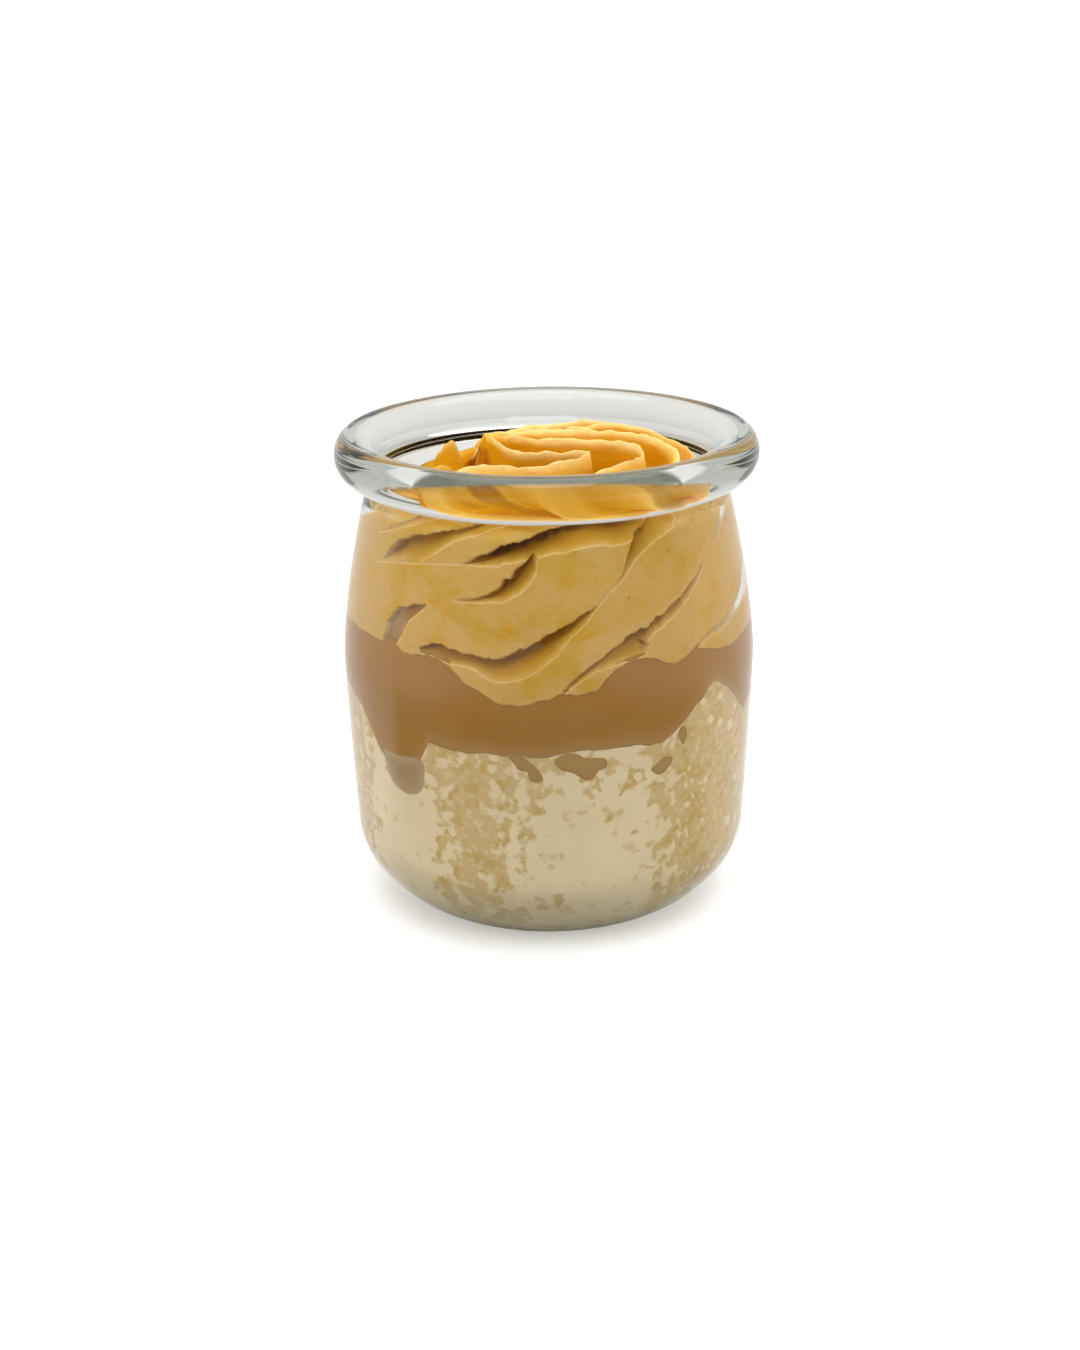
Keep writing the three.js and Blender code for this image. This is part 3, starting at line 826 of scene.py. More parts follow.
@dataclass(frozen=True)
class SpongeFinish:
    """Open sponge cake that has soaked up milk cream: tan crumb with pale pores.

    Attributes:
        milk: Colour of the milk that shows between the crumbs.
        tan: Colour of the crumb.
        ripe: Colour of its yellower patches.
        painted_foot_light: Painted light that lightens everything low in the heel.
    """

    milk: Colour = (0.81, 0.67, 0.44)
    tan: Colour = (0.66, 0.48, 0.235)
    ripe: Colour = (0.61, 0.41, 0.155)
    painted_foot_light: Colour = (1.0, 0.92, 0.74)

    def crumbs(self, tree: Tree, milk: object) -> Socket:
        """Puts crumbs of cake into milk where soak says that they show, and paints light low down.

        Args:
            tree: The material's nodes.
            milk: Colour of the milk round the crumbs.

        Returns:
            The colour of both.
        """
        soak = tree.attribute("soak")
        coarse = tree.math("MULTIPLY_ADD", soak, 0.019, 0.515)
        large = Effects.place(tree, Effects.mottle(), Size=2.6, Level=coarse, Edge=0.05, Detail=8.0)
        small = Effects.place(tree, Effects.mottle(), Size=1.3, Level=0.42, Edge=0.08, Detail=4.0)
        pores = Effects.place(tree, Effects.specks(), Spacing=2.2, Size=0.5, Share=0.22)
        share = tree.math("MULTIPLY", large, tree.math("MULTIPLY_ADD", small, 0.45, 0.55))
        share = tree.math("MULTIPLY", share, tree.math("SUBTRACT", 1.0, pores))
        patches = Effects.place(tree, Effects.mottle(), Size=2.2, Level=0.56, Edge=0.07, Detail=3.0)
        cake = tree.blend(patches, self.tan, self.ripe)
        colour = tree.blend(share, milk, cake)
        # Painted light: everything grows lighter towards the bottom of the heel
        place = tree.add("ShaderNodeTexCoord").outputs["Object"]
        height = tree.add("ShaderNodeSeparateXYZ", Vector=place).outputs[2]
        return tree.layer(tree.ramp(height, 0.014, 0.003), 0.55, colour, self.painted_foot_light)

    def build(self) -> bpy.types.Material:
        """Returns the material."""
        made, tree = material("Sponge cake")
        tree.skin(Base_Color=self.crumbs(tree, self.milk), Roughness=0.55, IOR=1.4)
        return made


@dataclass
class GlassJar:
    """The pressed glass jar.

    Attributes:
        form: Its section.
        sides: Number of faces round it.
    """

    form: JarForm
    sides: int = 192

    def build(self) -> bpy.types.Object:
        """Returns the jar, dressed in its glass."""
        piece = Workshop.lathe("jar_glass_body", self.form.profile(), self.sides)
        piece.data.materials.append(GlassFinish().build())
        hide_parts("glass_jar")
        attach(piece, "root")
        return piece


@dataclass(frozen=True)
class Groove:
    """A groove between two lobes of the cream, where it stands off the glass.

    Attributes:
        path: Points along it as they show on the glass, each an angle, a height and half its width.
        depth: How far its floor lies behind the lobes.
        steps: Number of straight pieces between two of its points.
        least_half: Half its width at its very ends.
    """

    path: tuple[tuple[float, float, float], ...]
    depth: float = 2.4
    steps: int = 7
    least_half: float = 0.05

    def gap(
        self, angle: np.ndarray, height: np.ndarray, radius: float
    ) -> tuple[np.ndarray, np.ndarray, np.ndarray]:
        """Measures how each point lies to the groove.

        Args:
            angle: Angles of the points.
            height: Heights of the points.
            radius: Radius that turns angles into lengths.

        Returns:
            The distances from its edge, negative inside it, half its width there, and 1 above its
            middle line or -1 below it.
        """
        shares = np.linspace(0, 1, self.steps * (len(self.path) - 1) + 1)
        line = spline(behind(np.array(self.path)), shares)
        middle = float(line[:, 0].mean())
        arc = math.radians(1.0) * radius
        across = turn_between(angle, middle) * arc
        line_across, line_height, width = (line[:, 0] - middle) * arc, line[:, 1], line[:, 2]
        far = 99.0
        best = np.full(across.shape, far)
        half = np.full(across.shape, 0.1)
        side = np.ones(across.shape)
        for k in range(len(line) - 1):
            run = line_across[k + 1] - line_across[k]
            climb = line_height[k + 1] - line_height[k]
            off, up = across - line_across[k], height - line_height[k]
            share = np.clip((off * run + up * climb) / (run * run + climb * climb), 0.0, 1.0)
            here = np.maximum(width[k] + (width[k + 1] - width[k]) * share, self.least_half)
            away = np.hypot(off - run * share, up - climb * share) - here
            nearer = away < best
            best = np.where(nearer, away, best)
            half = np.where(nearer, here, half)
            side = np.where(nearer, np.sign(up * run - off * climb), side)
        return best, half, side


@dataclass(frozen=True)
class Arm:
    """One ridge of the swirl's free top, from the shoulder inwards to the tip.

    Attributes:
        start: Angle where it leaves the glass.
        path: The points that it passes on the way to the tip.
        sharp: Painted highlight on its crest, from 0 for a valley floor in painted shade to 1.
    """

    start: float
    path: tuple[Point, ...]
    sharp: float = 1.0


@dataclass
class LucumaSwirl:
    """The piped cream: lobes pressed flat on the glass below, and a free twisted top.

    Attributes:
        form: The jar's section.
        reach: How far the lobes reach into the glass wall.
        letting_go: Height where the lobes begin to draw back from the glass.
        shoulder: Height where the cream leaves the glass.
        standoff: How far it stands off the glass there.
        slump: How much lower it leaves the glass where it has slumped.
        slump_angle: Middle of that side.
        slump_spread: How wide that side is, in degrees.
        tip: Where the swirl ends.
        floor: Height of the cream's underside in the middle.
        columns: Number of columns between two ridges at the front, and at the back.
        front_end: Angle past which the ridges have the columns of the back.
        wall_rows: Number of rows on the glass.
        top_rows: Number of rows on the free top.
        valley_depth: Depth of the valleys between ridges.
        shoulder_depth: Their depth where they start at the shoulder.
        steep_share: Where a groove's steep upper side starts, 0 in its middle and 1 at its edge.
        rise: How steeply a ridge leaves the shoulder.
        full_climb: Climb of a ridge's first stretch from which on it leaves that steeply.
        least_rise: The smallest share of that steepness.
        tuck_angle: Middle of the side where the end of the top tucks under itself, in painted shade.
        foot: Line of the cream's lower edge at the glass.
        grooves: Where the cream stands off the glass.
        arms: Ridges of the free top, in the order of their angles.
    """

    form: JarForm
    reach: float = 0.25
    letting_go: float = 70.0
    shoulder: float = 73.2
    standoff: float = 0.45
    slump: float = 2.6
    slump_angle: float = -108.0
    slump_spread: float = 32.0
    tip: Point = (-10.2, -2.6, 81.5)
    floor: float = 49.3
    columns: tuple[int, int] = (58, 26)
    front_end: float = 75.0
    wall_rows: int = 108
    top_rows: int = 62
    valley_depth: float = 5.5
    shoulder_depth: float = 1.5
    steep_share: float = 0.62
    rise: float = 7.0
    full_climb: float = 5.0
    least_rise: float = 0.15
    tuck_angle: float = -112.0
    foot: Contour = Contour((
        (-160, 50.5), (-145, 48.4), (-128, 50.6), (-110, 51.6), (-96, 50.4), (-84, 51.2),
        (-70, 52.2), (-52, 52.3), (-45, 52.4), (-41.6, 51.5), (-33.7, 52.3), (-29.7, 51.9),
        (-26.6, 51.0), (-23.5, 49.2), (-17.9, 47.6), (-13.8, 46.2), (-8.6, 45.8), (-4.7, 46.2),
        (-0.2, 47.2), (3.4, 48.0), (6.9, 47.5), (12.2, 48.1), (15, 50.3), (18.5, 51.6),
        (25.8, 52.4), (28.8, 51.7), (33.4, 50.3), (38.6, 50.8), (41.6, 51.9), (47.4, 50.9),
        (51.9, 50.2), (60, 49.8), (74, 50.4), (90, 51.4), (100, 48.6), (114, 50.8),
        (136, 51.6), (150, 49.6), (166, 51.8), (186, 52.0),
    ))
    grooves: tuple[Groove, ...] = (
        Groove(((-60, 68.6, 0.1), (-46, 71.6, 0.5), (-35.5, 74.4, 1.2)), 1.6),
        Groove((
            (-56, 64.6, 0.1), (-51, 66.2, 1.0), (-47, 67.4, 1.7), (-41, 68.2, 2.0), (-36.5, 69.2, 1.6),
            (-32, 70.3, 1.1), (-27, 71.4, 0.8), (-20, 72.6, 0.8), (-12, 74.4, 1.0),
        ), 1.9),
        Groove((
            (-58, 64.2, 0.1), (-48, 65.4, 0.15), (-36, 66.4, 0.1), (-25, 67.1, 0.1), (-19, 67.9, 0.8),
            (-12, 69.0, 1.4), (-4, 70.2, 1.6), (6, 71.4, 1.7), (14, 72.0, 1.8), (22, 71.9, 1.9),
            (28, 73.4, 1.8),
        ), 3.4),
        Groove(((-48, 52.6, 1.6), (-46, 55.4, 1.9), (-42.5, 57.7, 1.2), (-36, 59.8, 0.3)), 3.0),
        Groove((
            (-27, 61.4, 0.1), (-18.6, 62.0, 0.4), (-11.5, 63.6, 1.2), (-6.9, 66.0, 1.4),
            (-4.2, 68.6, 0.7),
        )),
        Groove((
            (-36, 52.9, 0.5), (-31, 53.2, 1.0), (-27, 52.7, 1.1), (-20.5, 52.3, 1.0),
            (-12.5, 51.4, 1.9), (-4, 53.6, 2.0), (2.5, 56.4, 1.2), (10.3, 59.8, 0.5),
        )),
        Groove((
            (10.3, 59.8, 0.4), (14, 61.6, 0.1), (20.3, 64.8, 0.2), (23.4, 67.2, 0.6),
            (28, 70.0, 1.4), (40, 73.4, 1.8),
        )),
        Groove((
            (3.4, 48.1, 0.2), (9, 50.7, 0.5), (17, 53.5, 0.7), (24, 55.2, 1.3), (28, 56.4, 0.9),
            (36, 58.8, 0.8), (43, 61.2, 0.6), (50, 64.4, 0.1),
        )),
        Groove(((13, 51.7, 0.6), (19, 52.9, 0.9), (24.5, 53.8, 1.3)), 1.6),
        Groove((
            (42, 51.6, 0.2), (47, 52.9, 0.3), (53, 53.4, 0.5), (60, 54.2, 0.6), (68, 55.6, 0.9),
            (76, 57.4, 1.7), (84, 59.8, 2.0), (94, 64.5, 1.1), (104, 69.0, 1.3), (112, 74.0, 1.5),
        ), 1.9),
        Groove(((56, 66.4, 0.1), (64, 69.3, 0.5), (75, 73.4, 1.5)), 2.6),
        Groove((
            (88, 51.4, 0.9), (97, 53.8, 1.9), (108, 57.6, 1.4), (120, 62.8, 0.5),
            (131, 67.4, 1.2), (148, 73.4, 1.6),
        )),
        Groove((
            (118, 51.8, 0.3), (128, 54.2, 1.0), (141, 58.3, 1.7), (152, 62.7, 1.2),
            (166, 68.4, 0.4), (184, 73.4, 1.5),
        )),
        Groove((
            (148, 50.3, 0.9), (160, 53.5, 1.6), (172, 57.0, 0.6), (184, 61.6, 1.6),
            (199, 67.6, 0.9), (220, 73.4, 1.5),
        )),
        Groove((
            (186, 52.2, 0.3), (196, 54.8, 1.2), (207, 58.8, 2.0), (219, 63.0, 0.8),
            (236, 68.9, 1.3), (256, 73.4, 1.5),
        )),
        Groove((
            (214, 49.6, 1.0), (226, 52.8, 1.7), (238, 56.6, 1.0), (250, 61.4, 0.4),
            (266, 67.0, 1.5), (298, 73.4, 1.5),
        )),
        Groove((
            (248, 51.2, 0.4), (258, 54.0, 1.3), (266, 57.2, 1.6), (273, 59.8, 0.8),
            (281, 61.4, 0.1),
        )),
    )
    arms: tuple[Arm, ...] = (
        Arm(-64, ((-15.5, -12.0, 73.8), (-4.0, -12.4, 74.6), (2.2, -11.7, 76.6), (-9.0, -7.4, 75.2)), 0.0),
        Arm(-45, ((-13.5, -14.0, 78.4), (-1.0, -14.2, 78.9), (6.8, -11.4, 80.4), (-5.0, -9.0, 80.2))),
        Arm(-26, ((-1.0, -19.0, 76.4), (9.6, -14.2, 78.0), (8.6, -9.2, 76.0), (-2.2, -6.6, 76.6)), 0.0),
        Arm(-5, ((8.0, -17.4, 78.6), (15.2, -12.4, 79.9), (12.2, -5.8, 80.7), (-1.0, -3.6, 80.8))),
        Arm(25, ((20.5, -14.0, 79.0), (19.2, -5.0, 80.3), (10.5, 1.6, 80.7), (-2.4, 2.4, 80.6))),
        Arm(57.5, ((23.8, -9.6, 78.4), (20.8, -1.2, 79.7), (12.4, 6.6, 80.7), (-0.6, 7.6, 79.6))),
        Arm(93.5, ((24.4, 4.2, 75.8), (17.6, 11.4, 77.8), (7.6, 12.6, 79.9), (-4.6, 9.6, 79.0))),
        Arm(130, ((15.4, 18.6, 76.6), (6.0, 19.4, 78.0), (-3.8, 15.6, 78.4), (-8.4, 8.8, 78.2))),
        Arm(166, ((0.4, 23.4, 76.2), (-8.2, 20.0, 76.4), (-12.0, 13.2, 76.0), (-11.5, 5.8, 77.0))),
        Arm(202, ((-14.6, 18.0, 73.6), (-17.4, 11.6, 73.4), (-15.4, 6.8, 74.9), (-12.6, 2.6, 76.0))),
        Arm(238, ((-21.0, 7.6, 71.2), (-17.6, 3.0, 77.6), (-15.4, 1.0, 79.4), (-12.6, -1.8, 74.8)), 0.4),
        Arm(277, ((-21.6, -8.6, 71.8), (-19.0, -7.0, 76.6), (-16.0, -5.0, 76.4), (-12.6, -4.2, 74.6)), 0.3),
    )

    @property
    def _free_radius(self) -> float:
        """Returns the radius where the cream leaves the glass."""
        return float(self.form.inner(self.shoulder)) - self.standoff

    def _columns(self) -> tuple[np.ndarray, np.ndarray, np.ndarray]:
        """Spaces the columns of points evenly between each ridge and the next.

        Returns:
            Each column's angle on the glass, the ridge before it and its share of the way on to the
            next ridge.
        """
        front, back = self.columns
        angles, ridges, shares = [], [], []
        for k, arm in enumerate(self.arms):
            following = self.arms[(k + 1) % len(self.arms)].start
            width = (following - arm.start) % 360.0
            count = front if arm.start < self.front_end else back
            share = np.arange(count) / count
            angles.append(arm.start + width * share)
            ridges.append(np.full(count, k))
            shares.append(share)
        return np.concatenate(angles), np.concatenate(ridges), np.concatenate(shares)

    def _leave(self, angle: np.ndarray) -> np.ndarray:
        """Returns the height where the cream leaves the glass, lower where it has slumped."""
        turn = turn_between(angle, self.slump_angle) / self.slump_spread
        return self.shoulder - self.slump * np.exp(-(turn**2))

    @staticmethod
    def _valley(share: np.ndarray) -> np.ndarray:
        """Returns the shape of a valley between two ridges, 0 on a ridge and 1 in its floor."""
        off = np.abs(2.0 * share - 1.0)
        return 0.7 * (1.0 - off**1.7) + 0.3 * 0.5 * (1.0 + np.cos(np.pi * off))

    def _cut(
        self, angle: np.ndarray, height: np.ndarray, place: np.ndarray, noise: Noise
    ) -> tuple[np.ndarray, np.ndarray]:
        """Cuts the grooves, whose edges are torn and whose upper side is the steep one.

        Args:
            angle: Angle of each point at the glass.
            height: Its height.
            place: The point itself, on a plain drum round the jar's axis.
            noise: Where the tears come from.

        Returns:
            How deep each point lies and how far it is from a groove's edge.
        """
        torn = 0.5 + 0.8 * smooth(-0.3, 0.4, noise.value(place, 7.0))
        jag = (0.3 * noise.fractal(place, 2.8, 2) + 0.7 * noise.fractal(place, 1.3, 2)) * torn
        edge = np.full(height.shape, NO_EDGE)
        depth = np.zeros(height.shape)
        for groove in self.grooves:
            gap, half, side = groove.gap(angle, height, self.form.belly_radius - self.form.wall)
            gap = gap + jag * np.clip(0.42 * half, 0.07, 0.45) * np.where(side > 0.0, 1.0, 0.6)
            across = side * (1.0 - np.clip(-gap / half, 0.0, 1.0))
            rising = np.clip((1.0 + across) / (1.0 + self.steep_share), 0.0, 1.0) ** 0.8
            brink = np.clip((across - self.steep_share) / (1.0 - self.steep_share), 0.0, 1.0)
            full = groove.depth * np.minimum(half / 1.1, 1.0)
            depth = np.maximum(depth, full * rising * np.sqrt(1.0 - brink**2))
            edge = np.minimum(edge, gap)
        return depth, edge

    def _wall(self, angle: np.ndarray, share: np.ndarray) -> tuple[np.ndarray, np.ndarray, np.ndarray]:
        """Lays the lobes against the glass, from their lower edge up to where they leave it.

        Args:
            angle: Angle of each column.
            share: How far each column is from its ridge on to the next.

        Returns:
            The rows of points, how deep each lies or how much painted shade it gets, whichever is
            more, and how far it is from an edge.
        """
        noise = Noise(11)
        step = np.linspace(0.0, 1.0, self.wall_rows)[:, None]
        foot = self.foot.height(angle)
        foot = foot + 0.25 * noise.fractal(around(angle, self.form.belly_radius, foot), 1.6)
        leave = self._leave(angle)
        height = foot + (leave - foot) * step
        angle = np.broadcast_to(angle, height.shape)
        place = around(angle, self.form.belly_radius, height)
        depth, edge = self._cut(angle, height, place, noise)
        edge = np.minimum(edge, height - foot)
        go = self.letting_go
        valley = self.shoulder_depth * self._valley(share)[None, :]
        depth = np.maximum(depth, valley * smooth(go, leave, height))
        radius = self.form.inner(height) + self.reach * (1.0 - smooth(go, go + 2.0, height)) - depth
        radius = radius - self.standoff * smooth(go + 1.0, leave, height)
        # Painted shade from the rim, in streaks, at the front where the lobes leave the glass
        streaks = noise.value(np.stack([place[..., 0], place[..., 1], 6.0 * height], axis=-1), 7.0)
        streaks = np.clip(0.5 + 0.9 * streaks, 0.0, 1.0)
        shade = facing(angle) * smooth(go + 0.4, go + 2.2, height) * streaks
        return around(angle, radius, height), np.maximum(depth, 2.0 * shade), edge

    def _ridges(self, steps: np.ndarray) -> np.ndarray:
        """Returns points on the line of each ridge.

        Args:
            steps: Shares of the way from the shoulder to the tip.

        Returns:
            One row of points for each ridge.
        """
        lines = []
        for arm in self.arms:
            begin = around(arm.start, self._free_radius, self._leave(arm.start))
            climb = (arm.path[0][2] - begin[2]) / self.full_climb
            rise = self.rise * np.clip(climb, self.least_rise, 1.0)
            points = np.array([begin, *arm.path, self.tip])
            lines.append(spline(points, steps, start=np.array([0.0, 0.0, rise])))
        return np.array(lines)

    def _top(
        self, angle: np.ndarray, ridge: np.ndarray, share: np.ndarray
    ) -> tuple[np.ndarray, np.ndarray]:
        """Spans the free top between its ridges, with a valley between each two.

        Args:
            angle: Angle of each column where it leaves the glass.
            ridge: Number of the ridge before each column.
            share: How far each column is from that ridge on to the next.

        Returns:
            The rows of points, and how deep each lies under the ridges.
        """
        steps = np.linspace(0.0, 1.0, self.top_rows + 1)[1:]
        lines = self._ridges(steps)
        onward = np.roll(lines, -1, axis=0) - lines
        spacing = np.linalg.norm(onward, axis=-1)[ridge].T
        base = (lines[ridge] + onward[ridge] * share[:, None, None]).transpose(1, 0, 2)
        # The first rows follow the round of the glass and not the chords from ridge to ridge
        circle = around(angle, self._free_radius, self._leave(angle))
        starts = np.array([arm.start for arm in self.arms])
        corners = around(starts, self._free_radius, self._leave(starts))
        chords = np.roll(corners, -1, axis=0) - corners
        bulge = circle - corners[ridge] - chords[ridge] * share[:, None]
        free = smooth(0.0, 0.3, steps)[:, None]
        base = base + bulge[None] * (1.0 - free)[..., None]
        full = mix(self.shoulder_depth, self.valley_depth, free)
        room = np.maximum(base[..., 2] - self.shoulder + self.shoulder_depth, 0.0)
        deep = np.minimum(np.minimum(full, 0.8 * spacing), room) * self._valley(share)[None, :]
        deep = deep * (1.0 - smooth(0.88, 1.0, steps))[:, None]
        # A valley is pressed inwards at the glass and down on the free top
        inward = -circle / self._free_radius
        inward[:, 2] = 0.0
        way = inward[None] * (1.0 - free)[..., None] - np.array([0.0, 0.0, 1.0]) * free[..., None]
        rows = base + way * deep[..., None]
        noise = Noise(23)
        crest = np.exp(-((np.minimum(share, 1.0 - share) / 0.08) ** 2))
        lift = 0.12 * noise.fractal(rows, 2.4) + 0.36 * crest[None] * noise.fractal(rows, 1.5)
        rows[..., 2] += lift * free * (1.0 - smooth(0.94, 1.0, steps))[:, None]
        return rows, deep

    def _painted_shade(
        self, top: np.ndarray, deep: np.ndarray, angle: np.ndarray, ridge: np.ndarray, share: np.ndarray
    ) -> np.ndarray:
        """Finds the painted shade of the free top: valleys, valley floors, the low front and the cave.

        Args:
            top: Points of the free top.
            deep: How deep each lies under the ridges.
            angle: Angle of each column where it leaves the glass.
            ridge: Number of the ridge before each column.
            share: How far each column is from that ridge on to the next.

        Returns:
            How much painted shade each point gets, counted as a depth.
        """
        height = top[..., 2]
        sharp = np.array([arm.sharp for arm in self.arms])
        before, after = 1.0 - smooth(0.0, 0.5, share), smooth(0.5, 1.0, share)
        # Painted shade along the ridges that lie as valley floors
        floor_line = (1.0 - sharp[ridge]) * before + (1.0 - np.roll(sharp, -1)[ridge]) * after
        # The side of a ridge that faces the light stays bright, as does the right of the top
        lit_side = mix(0.15, 1.0, smooth(0.1, 0.45, share))
        painted_shade = np.maximum(deep * lit_side, 4.5 * floor_line)
        # Painted shade on the lowest part of the free top, under the rim
        painted_shade = np.maximum(painted_shade, 0.6 * smooth(77.6, 75.6, height))
        painted_shade = painted_shade * (1.0 - 0.85 * smooth(14.0, 22.0, top[..., 0]))
        # Low places at the front, just inside the shoulder, get patches of painted shade from the rim
        steps = np.linspace(0.0, 1.0, self.top_rows)[:, None]
        patchy = np.clip(0.8 + 0.5 * Noise(41).value(top, 5.0), 0.2, 1.2)
        low = (1.0 - smooth(0.1, 0.22, steps)) * smooth(78.4, 77.0, height) * facing(angle)
        painted_shade = np.maximum(painted_shade, 0.85 * low * patchy)
        # The end of the top tucks under itself, and the cave there gets painted shade
        tuck = smooth(75.0, 50.0, np.abs(turn_between(angle, self.tuck_angle)))
        return np.maximum(painted_shade, 6.4 * smooth(0.62, 0.8, steps) * tuck * smooth(80.6, 79.0, height))

    def _painted_highlight(self, ridge: np.ndarray, share: np.ndarray) -> np.ndarray:
        """Returns each column's painted highlight from the crests of the ridges on both its sides."""
        sharp = np.array([arm.sharp for arm in self.arms])
        line = sharp[ridge] * np.exp(-((share / 0.055) ** 2))
        return line + np.roll(sharp, -1)[ridge] * np.exp(-(((1.0 - share) / 0.055) ** 2))

    def build(self) -> bpy.types.Object:
        """Returns the whole swirl, dressed in its cream."""
        angle, ridge, share = self._columns()
        wall, depth, edge = self._wall(angle, share)
        top, deep = self._top(angle, ridge, share)
        foot = wall[0]
        under = np.array([
            drawn_in(foot, 0.0, level=self.floor),
            drawn_in(foot, 0.5, level=self.floor),
            drawn_in(foot, 0.93, lift=0.5),
            drawn_in(foot, 0.988, lift=0.08),
        ])
        blank = np.zeros(under.shape[:2])
        rising = smooth(0.0, 0.22, np.linspace(0.0, 1.0, self.top_rows)[:, None])
        free = np.concatenate([blank, np.zeros(depth.shape), np.broadcast_to(rising, deep.shape)])
        # Painted highlight along the crests, fading out low on the free top
        crest = free * self._painted_highlight(ridge, share)[None]
        crest[-len(top):] *= smooth(75.6, 77.4, top[..., 2])
        painted_shade = self._painted_shade(top, deep, angle, ridge, share)
        # The cream's painted shade comes from the first of these values, its painted highlight from crest
        values = {
            "shade_depth": np.concatenate([blank, depth, painted_shade]),
            "edge": np.concatenate([blank, edge, np.full(deep.shape, NO_EDGE)]),
            "free": free,
            "crest": crest,
        }
        piece = Workshop.shell("lucuma_swirl", np.concatenate([under, wall, top]), values)
        piece.data.materials.append(CreamFinish().build())
        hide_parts("lucuma_cream")
        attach(piece, "root")
        return piece


@dataclass
class CaramelLayer:
    """The caramel between cake and cream, with the runs that went down past the cake.

    Attributes:
        form: The jar's section.
        reach: How far it reaches into the glass wall.
        columns: Number of columns round it.
        wall_rows: Number of rows at the glass.
        underside: Height of its underside in the middle.
        upside: Height of its upper side there, inside the cream.
        overlap: How far it goes up behind the cream's lower edge.
        bottom: Line of its lower edge at the glass.
    """

    form: JarForm
    reach: float = 0.17
    columns: int = 480
    wall_rows: int = 60
    underside: float = 37.4
    upside: float = 49.0
    overlap: float = 0.7
    bottom: Contour = Contour((
        (-160, 35.8), (-146, 31.6), (-134, 36.4), (-118, 38.6), (-104, 39.6), (-92, 37.0),
        (-84, 39.4), (-74, 41.2), (-64, 39.9), (-60, 38.0), (-57, 36.0), (-54.4, 34.2),
        (-52, 32.8), (-49, 32.1), (-43.2, 32.2), (-39.4, 33.0), (-37.2, 33.9), (-35.6, 35.6),
        (-35.3, 37.4), (-34.2, 38.0), (-31.6, 37.6), (-26.4, 37.3), (-11, 37.5), (-2.3, 37.4),
        (4, 38.2), (16.5, 38.4), (22, 38.2), (30.5, 37.6), (33.5, 38.7), (37, 40.1),
        (43.3, 42.8), (48, 45.1), (50.8, 45.2), (53.5, 43.9), (57, 42.5), (60.6, 40.6),
        (64, 38.5), (68, 36.9), (77, 38.0), (90, 37.4), (104, 37.6), (120, 34.4),
        (129, 32.6), (140, 36.2), (156, 39.2), (170, 41.0), (184, 38.6),
    ), 5)

    def build(self, foot: Contour) -> bpy.types.Object:
        """Makes the layer.

        Args:
            foot: Line of the cream's lower edge, under which the caramel ends.

        Returns:
            The closed piece, dressed in its caramel.
        """
        angle = np.arange(self.columns) * 360.0 / self.columns
        low = self.bottom.height(angle)
        drum_radius = 33.0
        low = low + 0.28 * Noise(5).fractal(around(angle, drum_radius, low), 2.6)
        high = foot.height(angle) + self.overlap
        height = low + (high - low) * np.linspace(0.0, 1.0, self.wall_rows)[:, None]
        wall = around(angle, self.form.inner(height) + self.reach, height)
        under = [drawn_in(wall[0], share, level=self.underside) for share in (0.0, 0.5, 0.75)]
        under += [drawn_in(wall[0], 0.94, lift=1.2), drawn_in(wall[0], 0.992, lift=0.12)]
        over = [drawn_in(wall[-1], 0.99)]
        over += [drawn_in(wall[-1], share, level=self.upside) for share in (0.8, 0.5, 0.0)]
        piece = Workshop.capped("caramel_layer", under, wall, over, "edge", height - low, 5.0)
        piece.data.materials.append(CaramelFinish().build())
        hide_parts("caramel")
        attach(piece, "root")
        return piece


@dataclass(frozen=True)
class Smear:
    """A thin run of caramel that lies on the inside of the glass.

    Attributes:
        name: Name of its piece.
        outline: Angle and height of the points round it, as they show on the glass.
        finish: What it is dressed in.
        sink: How far its face lies behind the face of the food beside it.
        sides: Number of points round it.
        sizes: Size of each of its rings, from the middle of its back to that of its face.
        reaches: How far each ring reaches into the glass wall, negative on the food's side.
    """

    name: str
    outline: tuple[tuple[float, float], ...]
    finish: CaramelFinish
    sink: float = 0.0
    sides: int = 90
    sizes: tuple[float, ...] = (0.0, 0.6, 1.0, 1.0, 0.97, 0.93, 0.85, 0.7, 0.5, 0.25, 0.0)
    reaches: tuple[float, ...] = (-0.5, -0.5, -0.2, 0.15, 0.16, 0.17, 0.18, 0.19, 0.2, 0.2, 0.2)

    def build(self, form: JarForm) -> bpy.types.Object:
        """Makes the smear as a thin closed lens on the jar's inner wall.

        Args:
            form: The jar's section.

        Returns:
            The closed piece, dressed in its finish.
        """
        points = behind(np.array(self.outline))
        count = len(points)
        wrapped = np.concatenate([points[-1:], points, points[:2]])
        shares = (1.0 + count * np.arange(self.sides) / self.sides) / (count + 2)
        line = spline(wrapped, shares)
        middle = points.mean(axis=0)
        sizes = np.array(self.sizes)
        place = middle + (line - middle) * sizes[:, None, None]
        angle, height = place[..., 0], place[..., 1]
        radius = form.inner(height) + (np.array(self.reaches) - self.sink)[:, None]
        degree_length = 0.58
        span = np.hypot((line[:, 0] - middle[0]) * degree_length, line[:, 1] - middle[1])
        edge = (1.0 - sizes)[:, None] * span[None, :]
        piece = Workshop.shell(self.name, around(angle, radius, height), {"edge": edge})
        piece.data.materials.append(self.finish.build())
        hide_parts("caramel")
        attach(piece, "root")
        return piece


